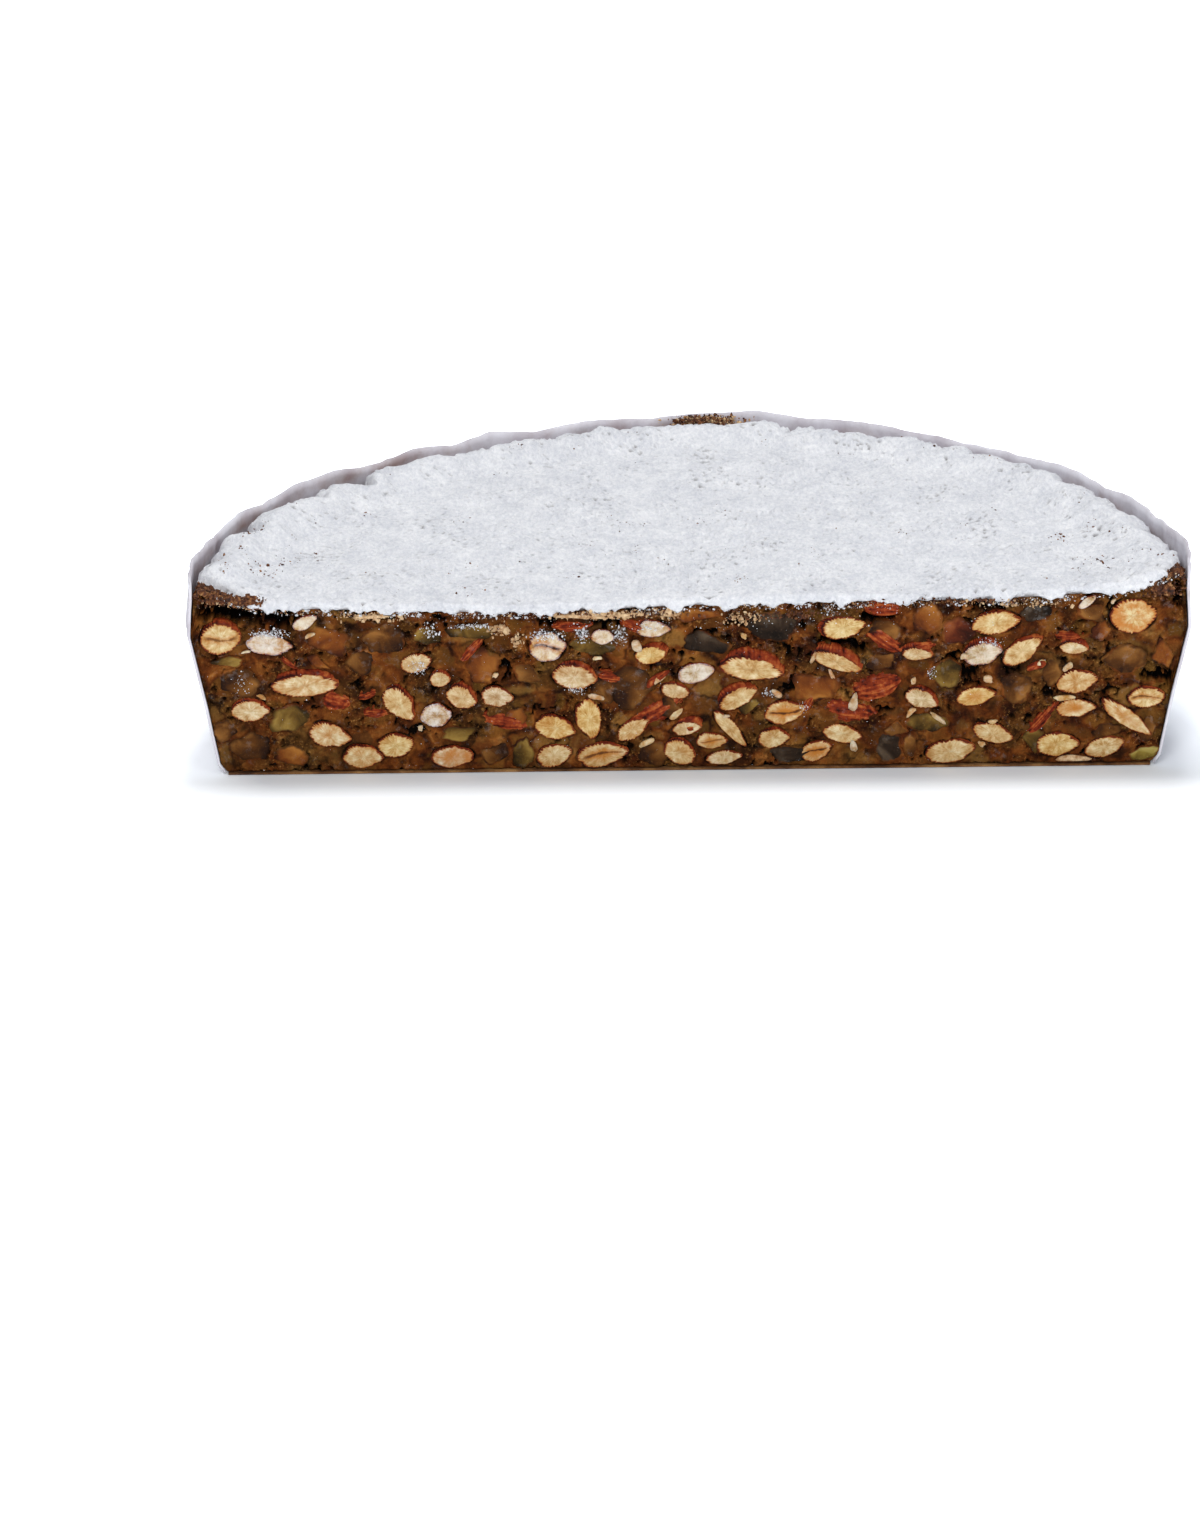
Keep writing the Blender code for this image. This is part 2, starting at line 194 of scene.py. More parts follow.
# Painted light and shadow: the floor glows white, except under the cake and close to it.
painted_glow_floor.surface(
    {
        "Base Color": "#f5f9fd",
        "Roughness": 0.9,
        "Specular IOR Level": 0.1,
        "Emission Color": "#ffffff",
        "Emission Strength": painted_glow_floor.between(
            painted_glow_floor.maths("POWER", from_cake, 0.25), PAINTED_GLOW_BEGINS, PAINTED_GLOW_FULL, 0.0, PAINTED_GLOW
        ),
    }
)
bpy.ops.mesh.primitive_plane_add(size=14, location=(0, 0, -0.2 * MM))
floor = bpy.context.object
floor.name = "floor"
floor.data.materials.append(painted_glow_floor.material)

studio = bpy.data.worlds.new("studio")
bpy.context.scene.world = studio
studio.use_nodes = True
studio.node_tree.nodes["Background"].inputs["Color"].default_value = (0.93, 0.96, 1.0, 1.0)
studio.node_tree.nodes["Background"].inputs["Strength"].default_value = 0.40

# Soft boxes: name, place, size and power in watts. Each one faces the cake.
SOFT_BOXES = [
    ("soft_box_above", (0.05, 0.30, 1.60), 0.50, 13.5),
    ("soft_box_key", (-0.25, -1.28, 0.95), 0.45, 8.0),
    ("soft_box_fill", (0.90, -1.20, 0.70), 0.60, 4.6),
]
for name, place, size, power in SOFT_BOXES:
    bpy.ops.object.light_add(type="AREA", location=place)
    soft_box = bpy.context.object
    soft_box.name = name
    soft_box.data.size = size
    soft_box.data.energy = power
    soft_box.rotation_euler = (-Vector(place)).to_track_quat("-Z", "Y").to_euler()


# --- Cake -----------------------------------------------------------------------------------------
# The honey paste that binds the fruit and nuts. The knife dragged it, smearing it flat in some places and
# tearing it open in others, so the cut face is modelled in relief: packed lumps, torn crumb and hollows
# where a nut came away, with painted shade darkening the hollows and cracks. The relief follows the
# almonds and fruit that the frame holds.
FACE_COLUMNS = 760
FACE_ROWS = 140
PASTE_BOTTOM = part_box("cake")[0].z
# Depths behind the cut at which the body's cross-sections are taken, in millimetres.
BODY_DEPTHS = [1.6, 3, 5, 7.5, 10, 13, 17, 22, 28, 36, 46, 58, 72, 88, 104, 120, 134, 146, 155, 160, 162.5]
EVERY = 4  # the body keeps every fourth point of the face's edge


def tree_of(node):
    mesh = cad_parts[node].data
    return BVHTree.FromPolygons([v.co for v in mesh.vertices], [p.vertices for p in mesh.polygons])


collar_tree = tree_of("wafer_collar")
cake_tree = tree_of("cake")
COLLAR_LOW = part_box("wafer_collar")[0].z + 0.3 * MM
COLLAR_HIGH = 57.0 * MM


def side_x(depth, height, sign):
    """Where the collar's inner wall stands at a depth behind the cut, on the side that sign gives."""
    start = Vector((0.0, CUT_Y + max(depth, 0.15 * MM), min(max(height, COLLAR_LOW), COLLAR_HIGH)))
    hit = collar_tree.ray_cast(start, Vector((sign, 0.0, 0.0)))[0]
    return hit.x if hit else 0.0


def collar_point(angle, height):
    """A point of the collar's inner wall in a direction from the middle of the cut, seen from above."""
    inside = min(max(angle, 0.0015), math.pi - 0.0015)
    start = Vector((0.0, CUT_Y, min(max(height, COLLAR_LOW), COLLAR_HIGH)))
    return collar_tree.ray_cast(start, Vector((math.cos(inside), math.sin(inside), 0.0)))[0]


# The collar's inner radius, by angle, at the height of the sugar.
WALL_ANGLES = np.linspace(0, math.pi, 361)
WALL_RADII = [math.hypot(p.x, p.y - CUT_Y) for p in (collar_point(a, 56 * MM) for a in WALL_ANGLES)]


def wall_radius(angle):
    return np.interp(angle, WALL_ANGLES, WALL_RADII)


def smooth(low, high, values):
    """0 below low, 1 above high, and a smooth step between."""
    share = np.clip((values - low) / (high - low), 0.0, 1.0)
    return share * share * (3 - 2 * share)


def cake_top(x, depth):
    """Height of the cake's top at a point behind the cut. Away from the cut the mix sank along the
    collar."""
    from_wall = wall_radius(math.atan2(depth, x)) - math.hypot(x, depth)
    sunk = 3.2 * MM * (1 - smooth(3 * MM, 13 * MM, from_wall)) * smooth(6 * MM, 30 * MM, depth)
    for inwards in (1.0, 0.99, 0.98, 0.96, 0.93):
        start = Vector((x * inwards, CUT_Y + max(depth * inwards, 0.05 * MM), 0.1))
        hit = cake_tree.ray_cast(start, Vector((0.0, 0.0, -1.0)))[0]
        if hit and hit.z > 40 * MM:
            return hit.z - sunk
    return 55 * MM - sunk


# A cut piece as it lies in the face: its node, middle, length, width, direction and how far its belly
# leans behind the cut.
Piece = namedtuple("Piece", "node x z length width tilt lean_x lean_z", defaults=(0.0, 0.0))


def read_section(node):
    """Reads a cut piece's section from the rim that the knife left on its CAD solid."""
    points = np.array([v.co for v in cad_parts[node].data.vertices])
    rim = points[np.abs(points[:, 1] - CUT_Y) < 0.05 * MM][:, [0, 2]]
    spread = np.linalg.norm(rim[:, None] - rim[None], axis=2)
    first, last = np.unravel_index(spread.argmax(), spread.shape)
    length = spread.max()
    along = (rim[last] - rim[first]) / length
    across = np.array([-along[1], along[0]])
    middle = (rim[first] + rim[last]) / 2
    offset = rim - middle
    width = 2 * np.abs(offset @ across).max()
    if np.sum(np.abs(offset @ across) * np.sign(offset @ along)) > 0:
        along = -along  # towards the pointed end
    depth = points[:, 1].max() - CUT_Y
    belly = points[np.abs(points[:, 1] - CUT_Y - depth / 2) < 0.1 * depth][:, [0, 2]]
    lean = (belly.max(0) + belly.min(0)) / 2 - middle if len(belly) else np.zeros(2)
    return Piece(node, middle[0], middle[1], length, width, math.atan2(along[1], along[0]), lean[0], lean[1])


def row(x, z, length, width, tilt=0.0, lean_x=0.0, lean_z=0.0):
    """A piece that only this script holds, given in millimetres and degrees."""
    return Piece(None, x * MM, z * MM, length * MM, width * MM, math.radians(tilt), lean_x * MM, lean_z * MM)


NODES = sorted(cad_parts)
cut_nuts = [read_section(node) for node in NODES if node.startswith("almond_") and node[-1].isdigit()]
cut_fruit = [read_section(node) for node in NODES if node.startswith("candied_")]

# Slivers of almond, smaller than those in the frame.
nut_slivers = [
    row(-116.5, 49.2, 7.8, 4.4, 30),
    row(-133.7, 20.7, 10.9, 7.2, 0, 0.0, 1.2),
    row(-83.4, 35.7, 9.2, 6.2, 15),
    row(-76.2, 30.4, 6.0, 5.0, 0, 0.4, 1.0),
    row(-27.0, 43.6, 6.6, 4.6, 0),
    row(-11.6, 46.0, 9.6, 5.4, 0, -1.6, 0.6),
    row(-5.0, 25.8, 8.4, 5.0, -12, 0.0, 0.8),
    row(-1.6, 13.6, 8.4, 4.2, 8, 1.2, 2.0),
    row(-4.6, 18.4, 5.4, 2.4, 45),
    row(9.8, 4.0, 10.6, 4.6, 8),
    row(68.3, 37.0, 9.0, 4.2, -3, 0.0, 2.0),
    row(115.9, 38.4, 8.4, 3.9, -5, 0.0, 2.0),
    row(119.5, 53.2, 6.0, 2.4, 35),
]
# Further candied fruit: a hue's name, then its place and size.
fruit_pieces = [
    ("umber", row(-11.6, 5.2, 8.4, 8.0, 10)),
    ("black", row(30.0, 4.6, 12.6, 5.0)),
    ("black", row(60.4, 6.6, 7.5, 10.5)),
    ("olive", row(71.6, 14.6, 12.5, 5.6)),
    ("umber", row(126.4, 11.4, 8.6, 4.6, 20)),
    ("umber", row(121.6, 49.6, 9.5, 5.6, -10)),
    ("lemon", row(138.4, 3.8, 9.4, 4.2, 14)),
    ("amber", row(37.5, 26.6, 13.5, 12.0, 10)),
    ("black", row(4.6, 41.0, 13.0, 7.2, -5)),
    ("amber", row(71.4, 48.4, 8.4, 9.6)),
    ("rust", row(80.4, 44.0, 10.0, 8.6, 15)),
    ("umber", row(58.6, 44.0, 9.2, 7.6, -20)),
    ("olive", row(-51.4, 6.2, 6.4, 9.6)),
    ("umber", row(-59.9, 6.0, 8.0, 8.6, 20)),
    ("olive", row(-139.7, 36.6, 10.4, 3.4)),
    ("amber", row(-113.0, 36.4, 7.0, 3.4, -30)),
    ("amber", row(124.0, 43.8, 5.6, 6.4)),
    ("umber", row(-93.0, 43.6, 12.4, 9.6, 10)),
    ("olive", row(-80.0, 44.4, 9.0, 5.0, -8)),
    ("amber", row(-63.0, 34.6, 9.6, 11.0, 20)),
    ("umber", row(-100.0, 36.0, 8.6, 7.0, -10)),
    ("olive", row(-122.0, 18.0, 12.6, 8.0, 12)),
    ("umber", row(-134.0, 9.0, 12.0, 8.4)),
    ("amber", row(-121.6, 6.0, 9.4, 6.6, -10)),
    ("olive", row(17.6, 20.2, 6.4, 4.4, 30)),
    ("umber", row(57.6, 34.6, 9.4, 4.8, 12)),
    ("umber", row(-27.2, 26.0, 7.4, 9.0)),
    ("olive", row(104.6, 8.6, 6.0, 8.6)),
    ("black", row(104.0, 50.0, 9.0, 5.6)),
    ("umber", row(66.6, 7.0, 4.0, 7.6)),
    ("amber", row(142.8, 36.0, 6.4, 9.4, 10)),
    ("umber", row(139.2, 11.4, 4.6, 8.0, -10)),
    ("umber", row(-49.6, 31.6, 9.4, 6.4, -20)),
    ("amber", row(-53.6, 17.2, 7.6, 6.4, 30)),
    ("umber", row(109.4, 30.4, 6.4, 8.6, -15)),
    ("umber", row(62.4, 12.6, 6.8, 4.6)),
    ("umber", row(-6.4, 20.2, 6.0, 7.4, 30)),
    ("amber", row(0.8, 50.2, 14.0, 4.0, 3)),
    ("umber", row(-141.6, 14.4, 7.6, 6.4, 40)),
]
# Hollows where something came away: x, z, length, height, tilt and how deep, in millimetres and degrees.
HOLLOWS = [
    (-139.0, 52.4, 21.0, 8.4, -4, 8.0),
    (-125.5, 51.0, 15.0, 8.6, -14, 7.5),
    (-104.6, 52.4, 13.0, 3.4, -8, 4.0),
    (-92.0, 50.4, 8.0, 3.0, 0, 3.5),
    (-105.1, 39.0, 2.6, 3.6, 0, 3.0),
    (-115.5, 23.6, 3.6, 2.4, 0, 2.5),
    (-101.9, 29.0, 5.0, 3.0, 30, 3.0),
    (-97.2, 23.4, 2.6, 5.4, 0, 3.0),
    (-89.8, 16.4, 5.0, 2.0, 10, 3.0),
    (-83.1, 13.8, 8.0, 2.6, -10, 2.2),
    (-62.9, 39.7, 3.0, 6.4, 15, 3.5),
    (-56.4, 33.6, 3.2, 11.6, -24, 4.5),
    (-76.4, 49.4, 9.0, 2.2, 0, 3.5),
    (-42.4, 48.2, 8.6, 3.2, 0, 4.5),
    (-24.0, 48.4, 16.0, 3.0, 0, 4.0),
    (-25.8, 31.8, 2.8, 3.6, 0, 3.0),
    (-46.0, 20.4, 9.0, 1.6, 6, 2.5),
    (-3.4, 37.2, 5.4, 3.0, -10, 3.5),
    (3.4, 44.2, 6.4, 2.2, 20, 3.0),
    (12.5, 47.4, 6.0, 2.4, 0, 3.0),
    (26.0, 41.6, 5.0, 3.2, -30, 3.5),
    (30.4, 38.2, 2.6, 5.0, 20, 3.5),
    (30.4, 27.2, 7.0, 5.6, 20, 3.5),
    (45.6, 40.8, 17.0, 3.6, -10, 5.5),
    (57.0, 49.4, 11.6, 4.0, 10, 5.5),
    (57.7, 18.8, 6.6, 2.6, 8, 4.0),
    (64.6, 22.0, 2.0, 2.6, 0, 2.5),
    (23.2, 15.2, 3.0, 1.8, 0, 2.5),
    (90.4, 52.6, 19.0, 4.8, 2, 6.0),
    (78.3, 35.7, 6.6, 3.0, -16, 4.0),
    (85.2, 30.4, 6.2, 6.0, -20, 4.5),
    (96.4, 31.8, 5.2, 2.6, 0, 3.0),
    (109.0, 24.4, 2.8, 2.8, 0, 3.0),
    (127.4, 24.6, 7.2, 2.6, 8, 3.5),
    (141.8, 28.8, 8.6, 5.2, 5, 5.5),
    (119.9, 4.2, 2.4, 2.0, 0, 2.5),
    (102.6, 14.6, 4.4, 1.8, 20, 3.0),
    (72.2, 42.0, 3.4, 1.4, 0, 2.5),
    (146.6, 56.0, 3.6, 8.0, -12, 4.5),
    (126.8, 53.6, 2.2, 8.6, 10, 5.0),
    (34.4, 46.4, 2.4, 3.4, 20, 3.0),
]


def fractal(place, octaves, gain=1.0):
    """Fractal noise about 0, at a place given in sizes of its features."""
    return noise.fractal(Vector(place), gain, 2.0, octaves)


def value_noise(x, z, size, seed, octaves=3):
    """Fractal noise for arrays of places in metres, with features of the given size."""
    return np.array([fractal((a / size, seed, b / size), octaves) for a, b in zip(x, z)])


NUT_DEPTH = 5.6 * MM


def pointed(nut):
    """How much slimmer an almond's one end is than its other."""
    return 0.36 * (0.55 + 0.45 * math.sin(nut.x / MM * 1.7 + nut.z / MM * 2.9))


def own_axes(piece, x, z, share=1.0, lean=0.0):
    """Places in a piece's own half lengths and half widths."""
    dx = x - piece.x - piece.lean_x * lean
    dz = z - piece.z - piece.lean_z * lean
    along = (dx * math.cos(piece.tilt) + dz * math.sin(piece.tilt)) / (piece.length / 2 * share)
    across = (dz * math.cos(piece.tilt) - dx * math.sin(piece.tilt)) / (piece.width / 2 * share)
    return along, across


def in_nut(nut, x, z, share=1.0, lean=0.0):
    """Distance of each place from an almond section's middle: 1 on its outline."""
    along, across = own_axes(nut, x, z, share, lean)
    return np.hypot(along, across / (1 - pointed(nut) * (0.5 + 0.5 * np.clip(along, -1, 1)) ** 2))


def gem_radius(piece, angles):
    """Outline of a dice of fruit by angle: a polygon of four to six uneven sides with softened
    corners."""
    dice = random.Random(round(piece.x / MM * 10) + 7 * round(piece.z / MM * 10))
    sides = dice.choice((4, 4, 5, 5, 6))
    start = dice.uniform(0, math.tau)
    corners = [start + math.tau * (k + dice.uniform(-0.24, 0.24)) / sides for k in range(sides)]
    closeness = np.zeros_like(angles)
    for here, after in zip(corners, [*corners[1:], corners[0] + math.tau]):
        facing = np.maximum(np.cos(angles - (here + after) / 2), 0.0)
        closeness += (facing / math.cos((after - here) / 2)) ** 8
    uneven = 1 + 0.06 * np.sin(3 * angles + start) + 0.04 * np.sin(7 * angles + 5 * start)
    uneven += 0.025 * np.sin(13 * angles + 9 * start)
    return np.minimum(1.24 * np.maximum(closeness, 1e-6) ** (-1 / 8), 1.3) * uneven


def in_gem(fruit, x, z):
    along, across = own_axes(fruit, x, z)
    return np.hypot(along, across) / gem_radius(fruit, np.arctan2(across, along))


def face_relief(x, z, top):
    """How far the paste lies behind the cut plane, and four shades between 0 and 1, at places of the
    face: the painted shade of its hollows and cracks, its lump's own shade, how far inside its lump it is
    and how torn."""
    warp = value_noise(x, z, 5 * MM, 3.0)
    ragged = value_noise(x, z, 2.2 * MM, 31.0, 4)
    fine = value_noise(x, z, 1.2 * MM, 9.0, 4)
    broad = value_noise(x, z, 15 * MM, 17.0, 2)
    stray = value_noise(x, z, 2.8 * MM, 57.0)
    torn = smooth(-0.10, 0.30, broad + 0.35 * warp) * 0.85 + 0.15
    torn = np.maximum(torn, smooth(3.4 * MM, 0.8 * MM, top - z))
    cells = [
        noise.voronoi(Vector((a / (9.0 * MM) + 0.35 * w, 0.3, b / (6.4 * MM) + 0.3 * r)))
        for a, b, w, r in zip(x, z, warp, ragged * 0.5)
    ]
    inside = np.array([distances[1] - distances[0] for distances, _ in cells])
    lump = np.array([0.5 + 0.5 * noise.cell(Vector(points[0]) * 13.7) for _, points in cells])
    seam = 1 - smooth(0.0, 0.12, inside)
    depth = (0.45 + 0.30 * warp + 0.45 * (lump - 0.5)) * MM
    depth += (0.25 + 0.45 * torn) * MM * fine
    depth += 0.60 * MM * seam * smooth(-0.3, 0.3, warp) * torn
    depth += 2.0 * MM * smooth(0.20, 0.60, ragged) * torn
    # Painted shade: how dark the paste is painted in its torn cavities and seams.
    hollow_shade = 0.7 * smooth(0.20, 0.60, ragged) * torn + 0.35 * seam * smooth(-0.2, 0.4, warp)
    for a, b, length, height, tilt, deep in HOLLOWS:
        hole = row(a, b, length, height, tilt)
        strayed_x = x + (3.2 * warp + 2.0 * ragged) * MM
        strayed_z = z + (2.4 * stray - 1.2 * ragged) * MM
        reach = np.hypot(*own_axes(hole, strayed_x, strayed_z)) + 0.35 * fine
        gone = 1 - smooth(0.66, 1.04, reach)
        depth = np.maximum(depth, deep * MM * gone)
        hollow_shade = np.maximum(hollow_shade, gone)
    for nut in cut_nuts + nut_slivers:
        near = np.abs(x - nut.x) + np.abs(z - nut.z) < 1.6 * nut.length
        ring = in_nut(nut, x[near], z[near])
        # A crack round each nut: a recess, darkened with painted shade.
        crack = np.exp(-(((ring - 1.07) / 0.08) ** 2)) * smooth(-0.25, 0.30, warp[near])
        depth[near] = np.maximum(depth[near], 1.3 * MM * crack)
        hollow_shade[near] = np.maximum(hollow_shade[near], 0.9 * crack)
        for behind in (0.0, 0.15, 0.3, 0.45, 0.6, 0.75, 0.9):
            share = math.sqrt(1 - behind**2)
            ring = in_nut(nut, x[near], z[near], share, math.sin(math.pi * behind))
            pocket = (1 - smooth(0.88, 0.98, ring)) * (NUT_DEPTH * behind + 1.0 * MM)
            depth[near] = np.maximum(depth[near], pocket)
    for fruit in [*cut_fruit, *[piece for _, piece in fruit_pieces]]:
        near = np.abs(x - fruit.x) + np.abs(z - fruit.z) < 1.6 * max(fruit.length, fruit.width)
        ring = in_gem(fruit, x[near], z[near])
        depth[near] = np.maximum(depth[near], 1.6 * MM * (1 - smooth(0.84, 0.93, ring)))
        # A crack round each dice of fruit: a recess, darkened with painted shade.
        crack = np.exp(-(((ring - 1.03) / 0.05) ** 2)) * smooth(0.1, 0.6, warp[near])
        depth[near] = np.maximum(depth[near], 0.8 * MM * crack)
        hollow_shade[near] = np.maximum(hollow_shade[near], 0.6 * crack)
    edge = smooth(-0.8, 0.2, (z - top) / MM) + smooth(0.0, 1.0, (PASTE_BOTTOM - z) / MM + 0.5)
    return np.maximum(depth, 0) + 0.4 * MM * edge, hollow_shade, lump, smooth(0.02, 0.5, inside), torn


def face_place(u, v, depth):
    """A place on a cross-section of the cake: u runs from its left side to its right and v from bottom to
    top."""
    guess = side_x(depth, 45 * MM, -1) * (1 - u) + side_x(depth, 45 * MM, 1) * u
    z = PASTE_BOTTOM + v * (cake_top(guess, depth) - PASTE_BOTTOM)
    inset = 0.25 * MM
    return (side_x(depth, z, -1) + inset) * (1 - u) + (side_x(depth, z, 1) - inset) * u, z


def inside_collar(x, depth, z):
    """The place itself, or where the collar's inner wall stands if the place would lie outside it."""
    wall = collar_point(math.atan2(depth, x), z)
    reach = math.hypot(wall.x, wall.y - CUT_Y) - 0.3 * MM
    share = min(1.0, reach / math.hypot(x, depth))
    return Vector((x * share, CUT_Y + depth * share, z))


def attach(mesh, values):
    """Gives a mesh's points named values for its material to read: numbers, or sets of three."""
    for name, numbers in values.items():
        numbers = np.asarray(numbers, dtype=np.float32)
        kind, field = ("FLOAT", "value") if numbers.ndim == 1 else ("FLOAT_VECTOR", "vector")
        mesh.attributes.new(name, kind, "POINT").data.foreach_set(field, numbers.ravel())


def new_object(name, points, faces, *materials):
    mesh = bpy.data.meshes.new(name)
    mesh.from_pydata(points, [], faces)
    for material in materials:
        mesh.materials.append(material)
    made = bpy.data.objects.new(name, mesh)
    bpy.context.collection.objects.link(made)
    return made


def make_paste():
    """The cake's mesh: the cut face as a dense grid in relief, and the body behind it as rings that
    follow the collar and the top to the back."""
    u_steps = np.linspace(0, 1, FACE_COLUMNS + 1)
    v_steps = np.linspace(0, 1, FACE_ROWS + 1)
    heights = np.linspace(0, 0.06, 121)
    left = np.array([side_x(0, z, -1) + 0.25 * MM for z in heights])
    right = np.array([side_x(0, z, 1) - 0.25 * MM for z in heights])
    places = np.empty((FACE_ROWS + 1, FACE_COLUMNS + 1, 2))
    for column, u in enumerate(u_steps):
        guess = left[90] * (1 - u) + right[90] * u
        z = PASTE_BOTTOM + v_steps * (cake_top(guess, 0) - PASTE_BOTTOM)
        places[:, column, 0] = np.interp(z, heights, left) * (1 - u) + np.interp(z, heights, right) * u
        places[:, column, 1] = z
    x = places[:, :, 0].ravel()
    z = places[:, :, 1].ravel()
    top = np.repeat(places[-1:, :, 1], FACE_ROWS + 1, axis=0).ravel()
    depth, hollow_shade, lump, inside, torn = face_relief(x, z, top)
    points = [Vector((a, CUT_Y + d, b)) for a, d, b in zip(x, depth, z)]
    wide = FACE_COLUMNS + 1
    corners = [j * wide + i for j in range(FACE_ROWS) for i in range(FACE_COLUMNS)]
    faces = [(corner, corner + 1, corner + wide + 1, corner + wide) for corner in corners]
    # The loop round the face, anticlockwise as seen from the front.
    loop = list(range(wide))
    loop += [j * wide + FACE_COLUMNS for j in range(1, FACE_ROWS + 1)]
    loop += [FACE_ROWS * wide + i for i in range(FACE_COLUMNS - 1, -1, -1)]
    loop += [j * wide for j in range(FACE_ROWS - 1, 0, -1)]
    shares = [(u_steps[index % wide], v_steps[index // wide]) for index in loop[::EVERY]]
    previous = loop
    for behind in BODY_DEPTHS:
        ring = []
        for u, v in shares:
            a, b = face_place(u, v, behind * MM)
            if v == 1:
                b += 0.7 * MM * fractal((a / (3 * MM), behind / 3, 0.0), 3)
            ring.append(len(points))
            points.append(inside_collar(a, behind * MM, b))
        stride = len(previous) // len(ring)
        for k in range(len(ring)):
            outer = [previous[(k * stride + s) % len(previous)] for s in range(stride + 1)]
            faces.append((*outer[::-1], ring[k], ring[(k + 1) % len(ring)]))
        previous = ring
    faces.append(tuple(previous[::-1]))
    made = new_object("honey_paste", points, faces)
    rest = len(points) - len(hollow_shade)
    shades = {"hollow_shade": (hollow_shade, 0.2), "lump": (lump, 0.5), "inside": (inside, 0.5), "torn": (torn, 1.0)}
    for name, (face, back) in shades.items():
        attach(made.data, {name: np.append(face, np.full(rest, back))})
    return made


def outwards(piece):
    """Turns a closed piece's faces outwards and shades it smooth."""
    bpy.ops.object.select_all(action="DESELECT")
    piece.select_set(True)
    bpy.context.view_layer.objects.active = piece
    bpy.ops.object.mode_set(mode="EDIT")
    bpy.ops.mesh.select_all(action="SELECT")
    bpy.ops.mesh.normals_make_consistent(inside=False)
    bpy.ops.object.mode_set(mode="OBJECT")
    bpy.ops.object.shade_smooth()
    piece.select_set(False)


def finished(piece, slot, *nodes):
    """Hands a piece to the frame: it moves with the cake and stands in for the nodes it is made after."""
    outwards(piece)
    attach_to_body(piece, "root")
    if nodes:
        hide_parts(*nodes)


def paste_colour(stuff):
    """Colour of the paste itself, scraps of fruit in dark honey. It depends on the place alone, so that
    fruit can sink into the paste without an outline."""
    mottle = stuff.noise(6.5 * MM, 5.0, 0.54, 0.6)
    red = [(0.33, "#240d05"), (0.42, "#441f0b"), (0.52, "#61300f"), (0.62, "#7d471c"), (0.75, "#a06a34")]
    olive = [(0.33, "#201005"), (0.42, "#3c240c"), (0.52, "#573817"), (0.63, "#765226"), (0.76, "#967643")]
    family = stuff.between(stuff.noise(14 * MM, 4.0, 0.55), 0.49, 0.64)
    return stuff.mix(family, stuff.ramp(mottle, red), stuff.ramp(mottle, olive))


def wet_in_spots(stuff, size, dull, glossy):
    """Makes a surface dull, with glossy spots of syrup of a given size; the levels are specular,
    roughness."""
    wet = stuff.between(stuff.noise(size, 5.0, 0.7), 0.58, 0.66)
    for name, low, high in zip(("Specular IOR Level", "Roughness"), dull, glossy):
        stuff.surface({name: stuff.scaled(wet, high - low, low)})


# Honey and fruit paste: dark, sticky and slightly glossy where the knife smeared it, dull and crumbly
# where torn.
honey = Stuff("honey_fruit_paste")
LUMP_STOPS = [
    (0.00, "#2c1709"),
    (0.20, "#54330f"),
    (0.38, "#5f4318"),
    (0.52, "#4d1f0c"),
    (0.70, "#7a4f1f"),
    (0.86, "#35200f"),
    (1.00, "#8a6430"),
]
inside_lump = honey.shade("inside")
lump_tone = honey.ramp(honey.shade("lump"), LUMP_STOPS)
clear_heart = honey.between(inside_lump, 0.1, 0.8, 0.0, 0.62)
lumpy = honey.mix(clear_heart, paste_colour(honey), lump_tone)
seam_patches = honey.between(honey.noise(7 * MM, 3.0, 0.6), 0.46, 0.60, 0.0, 0.7)
seam_level = honey.times(honey.between(inside_lump, 0.22, 0.0), seam_patches)
packed = honey.mix(seam_level, lumpy, "#1b0b04")
crumb_grain = honey.noise(0.9 * MM, 4.0, 0.72)
torn_level = honey.shade("torn")
pale_crumb = honey.times(honey.between(crumb_grain, 0.56, 0.70), torn_level)
speckled = honey.mix(honey.times(pale_crumb, 0.65), packed, "#b98649")
dark_crumb = honey.between(crumb_grain, 0.46, 0.34)
dark_level = honey.times(dark_crumb, honey.between(torn_level, 0.2, 1.0, 0.15, 0.65))
grained = honey.mix(dark_level, speckled, "#200e05")
# Painted shade: hollows, cracks and seams are painted nearly black.
painted_hollow_shade = honey.between(honey.shade("hollow_shade"), 0.12, 0.80)
honey.surface({"Base Color": honey.mix(painted_hollow_shade, grained, "#0b0502")})
wet_in_spots(honey, 2.6 * MM, (0.05, 0.75), (0.50, 0.22))
honey.bump(honey.scaled(honey.noise(2.2 * MM, 4.0, 0.6), 1.5, crumb_grain), 0.60 * MM, 0.8)

paste = make_paste()
paste.data.materials.append(honey.material)
finished(paste, "cake", "cake")


# --- Almonds --------------------------------------------------------------------------------------
# Whole almonds baked in their skins. The knife shows each kernel as a cream section that is toasted at
# its heart or edge. Its rim is notched by the ridges of the red brown skin, which shows as a flank where
# the belly leans.
SECTION_SHARES = (0.0, 0.24, 0.46, 0.66, 0.80, 0.89, 0.95, 1.0)
FLANK_RINGS = 9
ROUND_STEPS = 96
